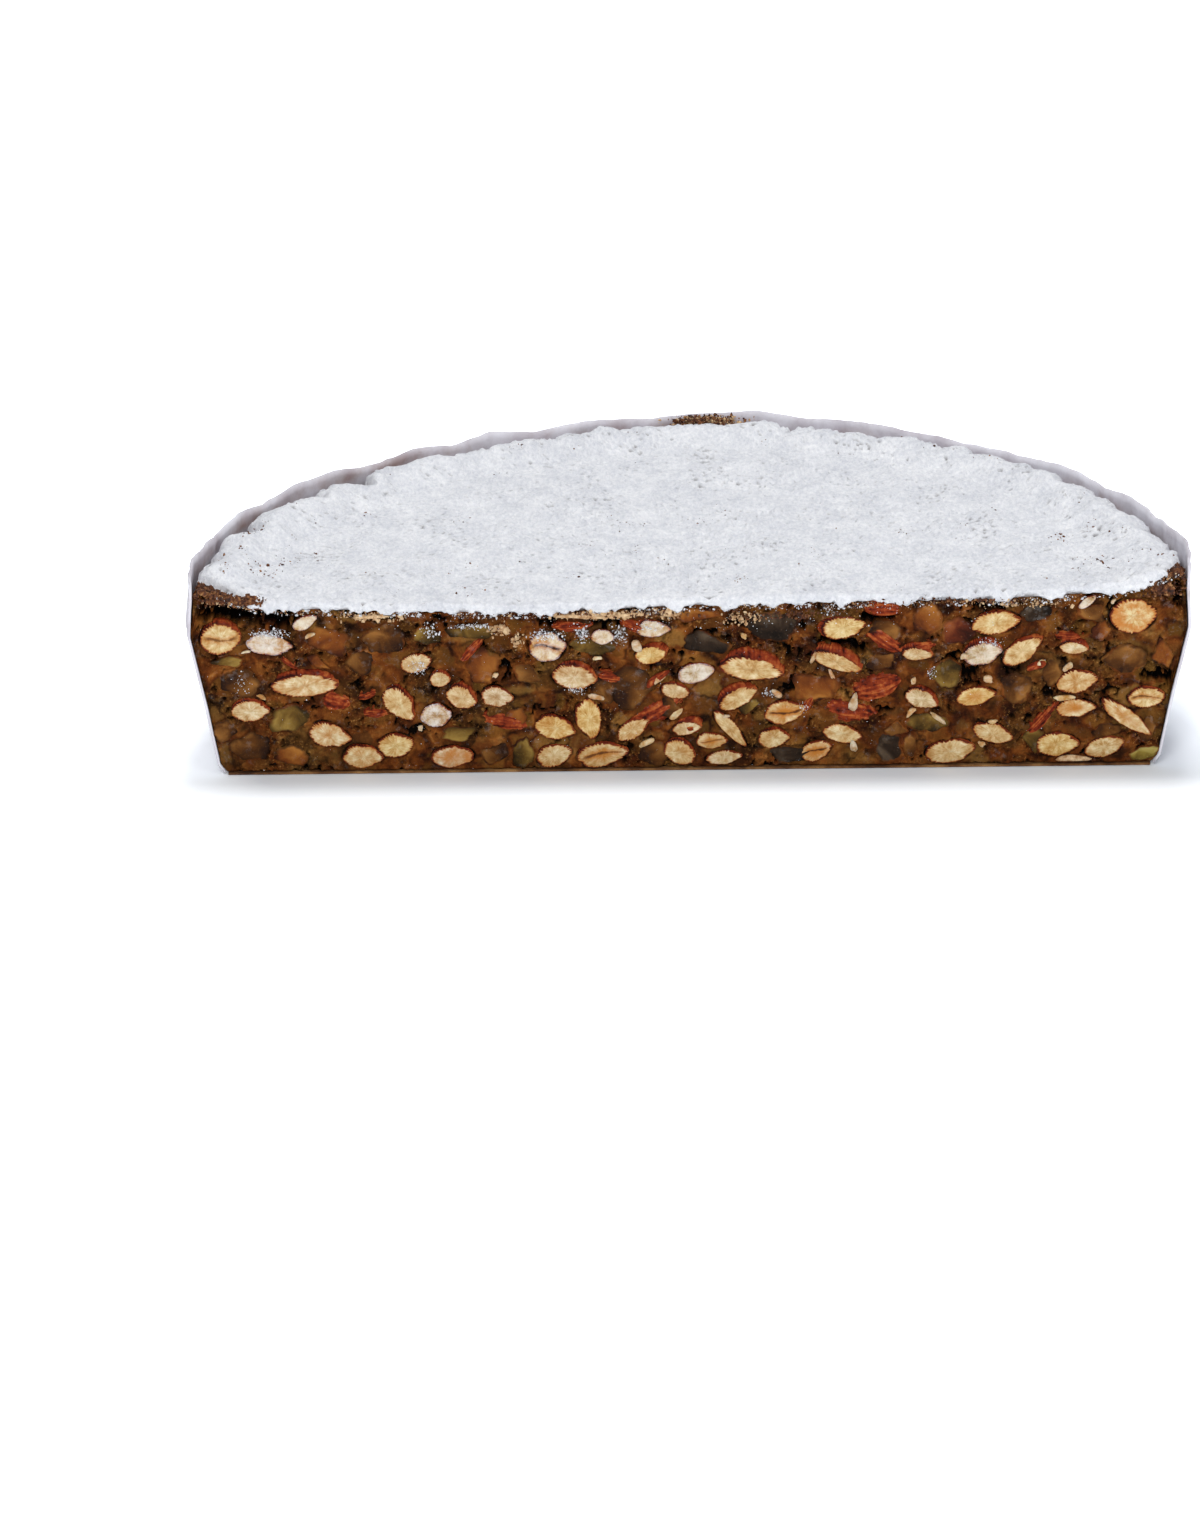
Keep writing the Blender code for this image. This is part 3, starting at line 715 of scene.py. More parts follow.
# How each almond looks, by the number of its node: toast is how orange, heart how brown its middle is,
# pale how grey, split how open the cleft between its halves is, and dust how much sugar lies on it.
Look = namedtuple("Look", "toast heart pale split dust", defaults=(0.15, 0.0, 0.35, 0.0, 0.0))
LOOKS = {
    1: Look(split=0.7, pale=0.3),
    2: Look(toast=0.3, pale=0.9, dust=0.5),
    3: Look(toast=0.3, pale=0.5),
    4: Look(toast=0.5, pale=0.5),
    5: Look(toast=0.4),
    7: Look(toast=0.1, pale=0.1),
    8: Look(pale=1.0, dust=0.6),
    9: Look(toast=0.2, pale=0.5),
    10: Look(pale=0.9),
    11: Look(toast=0.7, heart=0.6, pale=0.8),
    12: Look(split=1.0, dust=0.4),
    13: Look(pale=0.7),
    14: Look(toast=0.25, pale=0.0),
    15: Look(toast=0.1, pale=0.0),
    17: Look(heart=0.6, split=0.8),
    18: Look(toast=0.1, pale=0.0),
    19: Look(toast=0.0, pale=1.0, dust=0.4),
    20: Look(toast=0.3),
    21: Look(toast=0.3, pale=0.3),
    22: Look(heart=0.8, split=0.5),
    26: Look(toast=0.3, heart=0.9, split=0.9),
    28: Look(toast=0.0, pale=0.1),
    31: Look(toast=0.6, heart=0.8, split=0.9),
    32: Look(toast=0.0, pale=0.7),
    33: Look(toast=0.2, pale=0.2),
    34: Look(toast=0.0, pale=0.9, dust=0.3),
    36: Look(heart=0.6, pale=0.0),
    39: Look(toast=0.3),
    40: Look(toast=0.5, heart=0.8),
    41: Look(toast=0.1, pale=0.0),
    42: Look(toast=0.8, pale=0.2),
    43: Look(split=0.8, pale=0.2),
    44: Look(toast=0.4, heart=0.5),
}

# Almond kernel, cut: dense, oily and cream coloured, dull, browned by the oven from the outside in.
kernel = Stuff("toasted_almond_kernel")
along, across, rim = kernel.parts_of("spot")
toast, heart, pale = kernel.parts_of("browning")
split, dust, phase = kernel.parts_of("flaws")
blotches = kernel.noise(3.0 * MM, 6.0, 0.66)
fine_grain = kernel.noise(0.8 * MM, 3.0, 0.65)
# Streaks run from the middle of a kernel to its rim, as its flesh grew.
outwards_way = kernel.add("CombineXYZ", {"X": along, "Y": across, "Z": 0.0}).outputs[0]
unit_way = kernel.add("VectorMath", {0: outwards_way}, operation="NORMALIZE").outputs[0]
way_parts = kernel.add("SeparateXYZ", {0: unit_way}).outputs
streak_x = kernel.scaled(way_parts["X"], 5.5, phase)
streak_y = kernel.times(way_parts["Y"], 5.5)
streak_z = kernel.times(rim, 1.6)
streak_place = kernel.add("CombineXYZ", {"X": streak_x, "Y": streak_y, "Z": streak_z}).outputs[0]
streak_look = {"Vector": streak_place, "Scale": 1.0, "Detail": 3.0, "Roughness": 0.6}
streaks = kernel.add("TexNoise", streak_look).outputs["Fac"]
flesh = kernel.scaled(kernel.maths("SUBTRACT", streaks, 0.5), 0.55, blotches)
yellow_kernel = kernel.ramp(flesh, [(0.32, "#a07436"), (0.48, "#c19e60"), (0.68, "#d8c492")])
grey_kernel = kernel.ramp(flesh, [(0.32, "#957750"), (0.50, "#bba583"), (0.70, "#d8c9b1")])
raw_kernel = kernel.mix(pale, yellow_kernel, grey_kernel)
toast_patch = kernel.times(toast, kernel.between(blotches, 0.64, 0.38))
toasted = kernel.mix(toast_patch, raw_kernel, "#bb7434")
heart_patch = kernel.times(heart, kernel.between(rim, 0.72, 0.20))
hearted = kernel.mix(heart_patch, toasted, "#b36d20")
# Where the two halves of the kernel part, a crack winds along its middle, toasted orange on both sides;
# its dark core is painted shade in the cleft.
winding = kernel.maths("SINE", kernel.scaled(along, 2.6, phase))
wandering = kernel.maths("ABSOLUTE", kernel.scaled(winding, 0.16, across))
off_crack = kernel.scaled(kernel.maths("SUBTRACT", blotches, 0.5), 0.5, wandering)
inner_split = kernel.times(split, kernel.between(rim, 0.90, 0.62))
crack_glow = kernel.times(inner_split, kernel.between(off_crack, 0.42, 0.08))
glowing = kernel.mix(crack_glow, hearted, "#b06c26")
# Painted shade: the crack's core is painted dark.
crack_painted_shade = kernel.times(inner_split, kernel.between(off_crack, 0.13, 0.03))
cracked = kernel.mix(crack_painted_shade, glowing, "#3f1d09")
# The rim: a thin toasted line, then the torn edge of the skin.
frayed = kernel.times(kernel.maths("SUBTRACT", streaks, 0.5), 0.35)
worn_rim = kernel.maths("ADD", kernel.scaled(fine_grain, 0.10, rim), frayed)
toasted_rim = kernel.mix(kernel.between(worn_rim, 0.90, 0.97, 0.0, 0.8), cracked, "#ad6526")
rimmed = kernel.mix(kernel.between(worn_rim, 0.97, 1.02), toasted_rim, "#5e2009")
dust_spread = kernel.scaled(fine_grain, 0.5, blotches)
dust_patch = kernel.times(dust, kernel.between(dust_spread, 0.62, 0.86, 0.0, 0.9))
kernel.surface(
    {
        "Base Color": kernel.mix(dust_patch, rimmed, "#d9d7d8"),
        "Roughness": 0.60,
        "Specular IOR Level": 0.15,
        "Subsurface Weight": 0.10,
        "Subsurface Scale": 0.8 * MM,
    }
)
kernel.bump(kernel.maths("ADD", fine_grain, streaks), 0.30 * MM, 0.7)

# Almond skin: thin, papery and red brown, in ridges from tip to root; its furrows are darkened with
# painted shade and its ridge tops lightened with painted light.
skin = Stuff("almond_skin")
ridge_height = skin.parts_of("spot")[0]
skin_relief_and_shade = skin.scaled(ridge_height, 0.34, skin.noise(1.8 * MM, 5.0, 0.65))
skin_shade_stops = [(0.40, "#2c0904"), (0.54, "#601e0d"), (0.72, "#853316"), (0.94, "#ab5c2d")]
# Painted shade and light: the colour runs from near black in the furrows to pale on the ridges.
skin.surface({"Base Color": skin.ramp(skin_relief_and_shade, skin_shade_stops)})
wet_in_spots(skin, 2.4 * MM, (0.08, 0.60), (0.45, 0.30))
skin.bump(skin_relief_and_shade, 0.55 * MM, 0.8)


def turned(piece, along, across):
    """Where a place in a piece's own two directions lies on the face, as x and z."""
    cos_tilt, sin_tilt = math.cos(piece.tilt), math.sin(piece.tilt)
    x = piece.x + along * cos_tilt - across * sin_tilt
    return x, piece.z + along * sin_tilt + across * cos_tilt


def ring_faces(rings, steps):
    """Faces of a fan round the first point, then of bands between rings of points."""
    turns = [(step, (step + 1) % steps) for step in range(steps)]
    faces = [(0, 1 + here, 1 + after) for here, after in turns]
    for base in range(1, 1 + (rings - 1) * steps, steps):
        further = base + steps
        faces += [(base + here, further + here, further + after, base + after) for here, after in turns]
    return faces


def nut_mesh(name, nut, seed, look, depth=NUT_DEPTH):
    """One cut almond: an uneven, slightly domed section just proud of the face, with a notched rim, and
    its ridged flank going back to a rounded end."""
    dice = random.Random(seed)
    swell = [dice.uniform(-1, 1) for _ in range(5)]
    teeth = dice.randint(24, 34)
    bitten = dice.uniform(0.5, 1.0)
    proud = dice.uniform(0.05, 0.40) * MM
    lean_in = dice.uniform(-0.30, 0.30) * MM

    def ridge(angle, behind):
        wander = 0.35 * math.sin(3 * angle + swell[0]) + 0.5 * behind * swell[1]
        return abs(math.sin(teeth * (angle + wander) / 2))

    def place(angle, share, behind):
        along, across = math.cos(angle) * share, math.sin(angle) * share
        radial = 1 + 0.030 * sum(s * math.sin((k + 2) * angle + 3 * s) for k, s in enumerate(swell))
        rough = noise.noise(Vector((2.0 * math.cos(angle), 2.0 * math.sin(angle), seed * 1.7)))
        chipped = noise.noise(Vector((5.0 * math.cos(angle), 5.0 * math.sin(angle), seed * 2.3)))
        radial -= 0.12 * bitten * max(rough + 0.30, 0.0) * ridge(angle, behind) * min(1.0, 1.6 * share)
        radial -= 0.10 * max(chipped - 0.15, 0.0) * share
        slim = 1 - pointed(nut) * (0.5 + 0.5 * along) ** 2
        x, z = turned(nut, along * nut.length / 2 * radial, across * nut.width / 2 * slim * radial)
        bulge = math.sin(math.pi * behind)
        return x + nut.lean_x * bulge, z + nut.lean_z * bulge, along, across

    points, spots = [], []
    for share in SECTION_SHARES:
        for step in range(ROUND_STEPS if share else 1):
            angle = math.tau * step / ROUND_STEPS
            x, z, along, across = place(angle, share * 1.045, 0.0)
            grain = fractal((x / (2.0 * MM), seed, z / (2.0 * MM)), 3)
            out = proud * (1 - 0.9 * share**5) + 0.13 * MM * grain + lean_in * across
            furrow = abs(across + 0.16 * math.sin(2.6 * along + seed))
            out -= 0.5 * MM * look.split * max(0.0, 1 - furrow / 0.2) * max(0.0, 1 - share**4)
            points.append(Vector((x, CUT_Y - out, z)))
            # The skin's ridges bite into the kernel's rim, most of all along its upper side.
            bite = (0.10 + 0.30 * max(math.sin(angle + nut.tilt), 0.0)) * bitten * share**4
            spots.append((along, across, share + bite * (ridge(angle, 0.0) - 0.55)))
    for ring in range(1, FLANK_RINGS + 1):
        behind = math.sin(math.pi / 2 * ring / FLANK_RINGS)
        share = math.sqrt(max(1 - behind**2, 0.0))
        for step in range(ROUND_STEPS if ring < FLANK_RINGS else 1):
            angle = math.tau * step / ROUND_STEPS
            x, z, _, _ = place(angle, share * 1.06, behind)
            points.append(Vector((x, CUT_Y + depth * behind, z)))
            spots.append((ridge(angle, behind), 0.0, behind))
    rings = len(SECTION_SHARES) + FLANK_RINGS - 2
    faces = ring_faces(rings, ROUND_STEPS)
    base = 1 + (rings - 1) * ROUND_STEPS
    for step in range(ROUND_STEPS):
        faces.append((base + step, len(points) - 1, base + (step + 1) % ROUND_STEPS))
    made = new_object(name, points, faces, kernel.material, skin.material)
    flat_faces = ROUND_STEPS * (len(SECTION_SHARES) - 1)
    made.data.polygons.foreach_set("material_index", [int(n >= flat_faces) for n in range(len(faces))])
    browning = [(look.toast, look.heart, look.pale)] * len(points)
    flaws = [(look.split, look.dust, seed % 6.28)] * len(points)
    attach(made.data, {"spot": spots, "browning": browning, "flaws": flaws})
    return made


def joined(name, parts):
    """Joins like pieces into one."""
    bpy.ops.object.select_all(action="DESELECT")
    for part in parts:
        part.select_set(True)
    bpy.context.view_layer.objects.active = parts[0]
    bpy.ops.object.join()
    parts[0].name = name
    parts[0].data.name = name
    return parts[0]


for nut in cut_nuts:
    number = int(nut.node.split("_")[1])
    finished(nut_mesh(f"cut_{nut.node}", nut, number, LOOKS.get(number, Look())), "almond", nut.node)

SLIVER_DEPTH = 3.4 * MM
DUSTY_ABOVE = 43 * MM  # slivers higher than this in the face have sugar on them
slivers = []
for number, nut in enumerate(nut_slivers, 1):
    look = Look(pale=0.6, dust=0.4 if nut.z > DUSTY_ABOVE else 0.0)
    slivers.append(nut_mesh(f"sliver_{number}", nut, 100 + number, look, SLIVER_DEPTH))
finished(joined("almond_slivers", slivers), "almond")


def skin_body(name, nut, half_depth, middle, seed):
    """An almond that the knife missed, or part of one: a full body in its wrinkled skin, from a
    sphere."""
    bpy.ops.mesh.primitive_uv_sphere_add(segments=96, ring_count=32, radius=1.0)
    made = bpy.context.object
    made.name = name
    spots = []
    for vertex in made.data.vertices:
        up, behind, along = vertex.co
        wrinkle = fractal((up * 5.0, behind * 5.0, along * 0.9 + seed), 4)
        ridges = min(max(0.5 + 1.1 * wrinkle, 0.0), 1.0)
        slim = 1 - 0.30 * (0.5 + 0.5 * along) ** 2
        radial = 1 + 0.05 * ridges + 0.08 * noise.noise(Vector((along * 1.6, up * 1.4, seed)))
        x, z = turned(nut, along * nut.length / 2, up * nut.width / 2 * slim * radial)
        vertex.co = Vector((x, middle + behind * half_depth * radial, z))
        spots.append((ridges, 0.0, 0.0))
    attach(made.data, {"spot": spots})
    made.data.materials.append(skin.material)
    return made


low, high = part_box("almond_whole")
whole_middle = [(a + b) / 2 for a, b in zip(low, high)]
whole_section = Piece(None, whole_middle[0], whole_middle[2], 18.4 * MM, 10.4 * MM, math.radians(18))
whole_almond = skin_body("whole_almond", whole_section, 4.2 * MM, whole_middle[1], 3.0)
finished(whole_almond, "skin", "almond_whole")

# Almonds that lie almost wholly inside and show a strip of their skin, and skins that came loose.
bared_skins = [
    row(-66.5, 39.6, 12.0, 4.0, 50),
    row(-55.9, 16.2, 18.0, 6.6, -12),
    row(-95.7, 19.6, 10.0, 4.2),
    row(-107.7, 23.4, 10.0, 8.0, -10),
    row(-98.0, 25.6, 8.0, 3.4, 20),
    row(47.5, 18.7, 19.0, 9.0, -10),
    row(58.3, 52.0, 14.0, 7.0, -4),
    row(58.6, 41.3, 16.0, 7.4, -34),
    row(106.6, 15.0, 18.0, 4.8, 50),
    row(-17.0, 46.6, 10.0, 4.8, -20),
    row(-24.5, 30.2, 11.0, 5.0, -8),
    row(70.4, 39.6, 9.0, 4.6, 10),
    row(-10.2, 19.6, 19.0, 8.4, 30),
    row(114.6, 42.2, 10.0, 3.6, 0),
    row(35.4, 21.2, 7.6, 3.6, 60),
    row(-36.0, 46.8, 13.0, 4.6, 4),
    row(-121.6, 36.2, 8.0, 3.0, -40),
    row(0.0, 13.4, 9.0, 4.4, 10),
]
SKIN_HALF_DEPTH = 2.4 * MM
skins = [
    skin_body(f"bared_skin_{number}", nut, SKIN_HALF_DEPTH, CUT_Y + SKIN_HALF_DEPTH - 0.25 * MM, 7.0 * number)
    for number, nut in enumerate(bared_skins, 1)
]
finished(joined("bared_skins", skins), "skin")


# --- Candied fruit --------------------------------------------------------------------------------
# Diced candied melon, citron and orange peel: syrup-soaked, clear as glass and packed tight, cut flush
# with the face. Each hue is three tones, from deep to pale; each dice is painted lighter towards one
# side, a painted light as if light came through it.
HUES = {
    "olive": ("#2e200a", "#5f451a", "#96783a"),
    "umber": ("#291408", "#54300f", "#885a2a"),
    "black": ("#120b06", "#2d2016", "#5a4a3a"),
    "amber": ("#431c09", "#713b13", "#9c642a"),
    "lemon": ("#513d15", "#84702f", "#b0a05c"),
    "rust": ("#2a0e06", "#56220f", "#8a4c28"),
}
FRAME_HUES = ["umber", "amber", "olive", "olive", "umber", "olive", "black", "olive", "umber", "umber"]
FRUIT_DEPTH = 4.2 * MM
FRUIT_STEPS = 48
FRUIT_RINGS = 8
FRUIT_BACK_RINGS = 4


def candied(hue):
    """Candied fruit of one hue: deep and clear, with cloudy veins and sugar crystals, painted lighter towards
    one side as painted light, smeared with paste towards its edges and wet with syrup in spots."""
    fruit = Stuff(f"candied_fruit_{hue}")
    deep, middle, pale = HUES[hue]
    veins = fruit.noise(7.0 * MM, 4.0, 0.50, 0.8)
    crystals = fruit.noise(0.9 * MM, 3.0, 0.7)
    light, share, _ = fruit.parts_of("spot")
    # Painted light: the dice grows paler towards one side.
    clarity = fruit.scaled(veins, 1.0, fruit.times(light, 0.40))
    tone = fruit.ramp(clarity, [(0.48, deep), (0.70, middle), (1.0, pale)])
    grained = fruit.mix(fruit.between(crystals, 0.60, 0.74, 0.0, 0.35), tone, pale)
    rim_dark = fruit.mix(fruit.between(share, 0.72, 0.98, 0.0, 0.6), grained, "#180b04")
    smeared = fruit.between(fruit.scaled(veins, 0.9, share), 1.32, 1.46)
    fruit.surface(
        {
            "Base Color": fruit.mix(smeared, rim_dark, paste_colour(fruit)),
            "Subsurface Weight": 0.15,
            "Subsurface Radius": (1.0, 0.5, 0.2),
            "Subsurface Scale": 1.2 * MM,
        }
    )
    wet_in_spots(fruit, 3.4 * MM, (0.07, 0.55), (0.55, 0.16))
    fruit.bump(fruit.maths("ADD", crystals, veins), 0.35 * MM, 0.7)
    return fruit.material


candied_materials = {hue: candied(hue) for hue in HUES}


def fruit_mesh(name, piece, hue, seed):
    """One dice of fruit: a softened polygon, a slightly uneven cut and sides that run back into the
    cake."""
    dice = random.Random(seed)
    recess = dice.uniform(-0.05, 0.22) * MM
    hill = dice.uniform(-0.20, 0.25) * MM
    painted_light_from = dice.uniform(0, math.tau)
    angles = np.linspace(0, math.tau, FRUIT_STEPS, endpoint=False)
    outline = gem_radius(piece, angles)
    points, spots = [], []
    for ring in range(FRUIT_RINGS + FRUIT_BACK_RINGS + 1):
        share = min(ring / FRUIT_RINGS, 1.0)
        behind = max(ring - FRUIT_RINGS, 0) / FRUIT_BACK_RINGS
        for step in range(FRUIT_STEPS if ring else 1):
            radius = outline[step] * share * (1 - 0.10 * behind)
            along = math.cos(angles[step]) * radius * piece.length / 2
            x, z = turned(piece, along, math.sin(angles[step]) * radius * piece.width / 2)
            grain = fractal((x / (2.4 * MM), seed, z / (2.4 * MM)), 3)
            y = CUT_Y + recess - hill * (1 - share**2) + 0.30 * MM * share**8 + 0.14 * MM * grain
            points.append(Vector((x, y + behind * FRUIT_DEPTH, z)))
            # Painted light: the first number grows towards one side of the dice.
            spots.append((0.5 + 0.5 * radius * math.cos(angles[step] - painted_light_from), share, behind))
    faces = ring_faces(FRUIT_RINGS + FRUIT_BACK_RINGS, FRUIT_STEPS)
    faces.append(tuple(range(len(points) - 1, len(points) - 1 - FRUIT_STEPS, -1)))
    made = new_object(name, points, faces, candied_materials[hue])
    attach(made.data, {"spot": spots})
    return made


for number, (piece, hue) in enumerate(zip(cut_fruit, FRAME_HUES), 1):
    finished(fruit_mesh(f"fruit_{number:02d}", piece, hue, 200 + number), "candied", piece.node)

for hue in HUES:
    chosen = [(n, piece) for n, (named, piece) in enumerate(fruit_pieces) if named == hue]
    small_dice = [fruit_mesh(f"small_{hue}_{n}", piece, hue, 300 + n) for n, piece in chosen]
    finished(joined(f"small_fruit_{hue}", small_dice), "candied")


# --- Icing sugar ----------------------------------------------------------------------------------
# Sifted on thickly and pressed by hand: a crust as soft as cotton wool, with small pits, that ends in
# round clumps along the collar and in a ragged, rounded lip over the cut face.
SUGAR_THICKNESS = 2.8 * MM
SUGAR_TURNS = 640
SUGAR_RINGS = 190
ROLL_STEPS = 6
# Notches between the clumps along the collar: direction and half width in degrees, depth in millimetres.
NOTCHES = [
    (168.0, 2.5, 3.0),
    (157.0, 3.4, 7.0),
    (149.0, 2.0, 3.0),
    (142.0, 2.6, 8.0),
    (134.0, 3.6, 12.0),
    (126.5, 1.6, 3.0),
    (119.6, 1.7, 7.0),
    (114.5, 2.4, 5.5),
    (107.0, 1.6, 3.0),
    (101.0, 2.6, 6.0),
    (92.0, 1.6, 2.5),
    (76.0, 2.2, 3.5),
    (63.0, 1.6, 2.5),
    (52.0, 1.8, 2.5),
    (42.4, 1.5, 4.5),
    (37.5, 1.3, 4.5),
    (26.4, 1.6, 6.0),
    (17.5, 1.8, 5.0),
]


def notched(angle):
    """How deep the notches are in a direction from the middle of the cut."""
    degrees = math.degrees(angle)
    return sum(deep * max(0.0, 1 - abs(degrees - at) / half) ** 1.5 for at, half, deep in NOTCHES) * MM


def sugar_inset(angle):
    """How far the sugar ends inside the collar, in a direction from the middle of the cut."""
    depth = wall_radius(angle) * math.sin(angle)
    widest, reach = (15.0 * MM, 9.5 * MM) if angle > math.pi / 2 else (5.0 * MM, 12 * MM)
    bared = widest * math.exp(-((depth / reach) ** 2))
    ragged = fractal((angle * 13, 4.0, 0.0), 4)
    curdled = abs(noise.noise(Vector((angle * 38, 7.0, 0.0))))
    curdled += abs(noise.noise(Vector((angle * 80, 1.0, 0.0))))
    return 0.6 * MM + bared + notched(angle) + (1.2 * ragged + 2.5 * curdled) * MM


def sugar_relief(x, y):
    """Height of the sugar's swells, curds and grains above its mean surface, and how far into a pit a
    place is."""
    spot = Vector((x, y, 0.0))
    swells = fractal((x / (20 * MM), y / (26 * MM), 1.0), 2)
    soft = fractal((x / (6.5 * MM), y / (10 * MM), 4.0), 3, 0.9)
    curds = 1 - 2 * abs(noise.noise(Vector((x / (2.8 * MM), y / (4.4 * MM), 2.0))))
    grains = fractal(spot / (1.7 * MM), 3, 0.7)
    gather = noise.noise(spot / (17 * MM) + Vector((0.0, 5.0, 3.0)))
    # Lower where hands pressed it.
    pressed = 0.65 + 0.9 * noise.noise(spot / (24 * MM) + Vector((4.0, 0.0, 7.0)))
    pitting = fractal(spot / (1.7 * MM) + Vector((7.0, 3.0, 1.0)), 2, 0.8)
    pit = min(max(0.0, pitting + 0.55 * gather - 0.58) * 3.0, 1.0)
    rise = 0.7 * swells + pressed * (0.85 * soft + 0.55 * curds + 0.40 * grains) - pit
    return (rise - 0.3) * MM, pit


def sugar_height(x, y, from_edge=1.0):
    """Height of the sugar's surface at a place, and its pit: full away from the edges and rounded down to
    nothing at them."""
    rise, pit = sugar_relief(x, y)
    rounded = min(from_edge / (4.5 * MM), 1.0)
    taper = math.sqrt(1 - (1 - rounded) ** 2)
    depth = y - CUT_Y
    near_wall = math.exp(-((from_edge / (9 * MM) - 0.7) ** 2)) * float(smooth(8 * MM, 22 * MM, depth))
    left_end = float(smooth(-100 * MM, -135 * MM, x))
    clump = noise.noise(Vector((x / (10 * MM), y / (10 * MM), 9.0)))
    heap = (2.3 + 1.2 * left_end + 2.0 * clump) * MM * near_wall
    return cake_top(x, depth) + 0.3 * MM + (SUGAR_THICKNESS + rise + heap) * max(taper, 0.10), pit


def band(outer, inner):
    """Faces between two loops of as many points."""
    count = len(inner)
    return [(outer[(k + 1) % count], outer[k], inner[k], inner[(k + 1) % count]) for k in range(count)]


def make_sugar():
    """The crust from the middle of the cut outwards, a roll all round its edge, and its underside."""
    front = CUT_Y + 0.4 * MM
    angles = np.linspace(0, math.pi, SUGAR_TURNS + 1)
    walls = [wall_radius(a) for a in angles]
    insets = [sugar_inset(a) for a in angles]
    wide = SUGAR_TURNS + 1
    height, pit = sugar_height(0.0, front)
    points, pits = [Vector((0.0, front, height))], [pit]
    for j in range(1, SUGAR_RINGS + 1):
        share = (j / SUGAR_RINGS) ** 0.92
        for angle, wall, inset in zip(angles, walls, insets):
            radius = wall * share - inset * share**6  # the rings take on the edge's shape as they near it
            x = radius * math.cos(angle)
            y = front + radius * math.sin(angle)
            height, pit = sugar_height(x, y, wall - inset - radius)
            points.append(Vector((x, y, height)))
            pits.append(pit)
    faces = [(0, 1 + i, 2 + i) for i in range(SUGAR_TURNS)]
    for j in range(SUGAR_RINGS - 1):
        base = 1 + j * wide
        faces += [(base + i, base + wide + i, base + wide + i + 1, base + i + 1) for i in range(SUGAR_TURNS)]
    rim = 1 + (SUGAR_RINGS - 1) * wide
    loop = [0] + [1 + j * wide for j in range(SUGAR_RINGS)]
    loop += [rim + i for i in range(1, wide)]
    loop += [1 + j * wide + SUGAR_TURNS for j in range(SUGAR_RINGS - 2, -1, -1)]
    last_front = SUGAR_RINGS  # the loop's first points and, past the rim, its last ones lie along the cut
    past_rim = SUGAR_RINGS + SUGAR_TURNS

    previous = loop
    for step in range(1, ROLL_STEPS + 1):
        turn = math.radians(120) * step / ROLL_STEPS
        ring = []
        for k, index in enumerate(loop):
            start = points[index]
            along_cut = k <= last_front or k >= past_rim
            hang = fractal((start.x / (6 * MM), start.y / (6 * MM), 0.0), 3)
            fine = fractal((start.x / (1.6 * MM), start.y / (1.6 * MM), turn * 2), 3)
            ground = cake_top(start.x, start.y - CUT_Y)
            if along_cut:
                thick = max((start.z - ground) * 0.60 + (1.3 * hang + 0.5 * fine) * MM, 0.4 * MM)
                out = Vector((0.0, -1.0, 0.0)) * max(1.0 + 0.8 * hang + 0.7 * fine, 0.2) * MM
            else:
                thick = max((start.z - ground) * 0.5, 0.1 * MM)
                out = Vector((start.x, start.y - CUT_Y, 0.0)).normalized() * 0.5 * MM
            tuck = 0.5 * MM * max(turn - math.pi / 2, 0)
            place = start + out * math.sin(min(turn, math.pi / 2)) - out.normalized() * tuck
            place.z = start.z - thick * (1 - math.cos(turn)) + 0.3 * MM * fine
            ring.append(len(points))
            points.append(place)
        faces += band(previous, ring)
        previous = ring
    centre = Vector((0.0, CUT_Y + 60 * MM, 0.0))
    for share in (0.985, 0.9, 0.7, 0.4, 0.1):
        ring = []
        for index in loop:
            place = centre + (points[index] - centre) * share
            place.y = max(place.y, CUT_Y + 0.6 * MM)
            place.z = cake_top(place.x, place.y - CUT_Y) + 0.1 * MM
            ring.append(len(points))
            points.append(place)
        faces += band(previous, ring)
        previous = ring
    faces.append(tuple(previous))
    made = new_object("icing_sugar_crust", points, faces)
    attach(made.data, {"pit": pits + [0.0] * (len(points) - len(pits))})
    return made


# Icing sugar: a fine white powder, fully matt. Painted shade makes it grey-blue in the lows of its grain
# and in broad clouds, and grey in its pits.
sugar = Stuff("icing_sugar_powder")
sugar_grain = sugar.noise(1.1 * MM, 4.0, 0.72, squeeze=(1.0, 0.6, 1.0))
sugar_clouds = sugar.noise(9 * MM, 7.0, 0.68, squeeze=(1.0, 0.7, 1.0))
# Painted shade: grey-blue where the grain, which also makes the bump, is low.
sugar_level = sugar.scaled(sugar_grain, 0.7, sugar.times(sugar_clouds, 0.5))
sugar_grain_and_shade = sugar.mix(sugar.between(sugar_level, 0.44, 0.76), "#ccced5", "#f2f2f4")
# Painted shade: the pits are painted grey.
pit_painted_shade = sugar.times(sugar.shade("pit"), 0.95)
sugar.surface(
    {"Base Color": sugar.mix(pit_painted_shade, sugar_grain_and_shade, "#7f7b7b"), "Roughness": 1.0, "Specular IOR Level": 0.1}
)
sugar.bump(sugar_grain, 0.90 * MM, 1.0)

sugar_crust = make_sugar()
sugar_crust.data.materials.append(sugar.material)
finished(sugar_crust, "sugar", "icing_sugar")


# --- Wafer collar and base ------------------------------------------------------------------------
# A strip of starch wafer wrapped round the side before baking. It took on creases and flats, stands a
# little above the sugar, and is browned where syrup soaked in; just below the sugar's level that
# browning is deepened as painted shade where the sugar meets it.
COLLAR_TURNS = 360
COLLAR_ROWS = 26
WAFER_THICKNESS = 0.8 * MM
# Directions of the folds in the wafer, in degrees. Between two folds it arches up and out.
FOLDS = [0, 20, 32, 47, 76, 93, 107, 118, 126, 149, 162, 180]

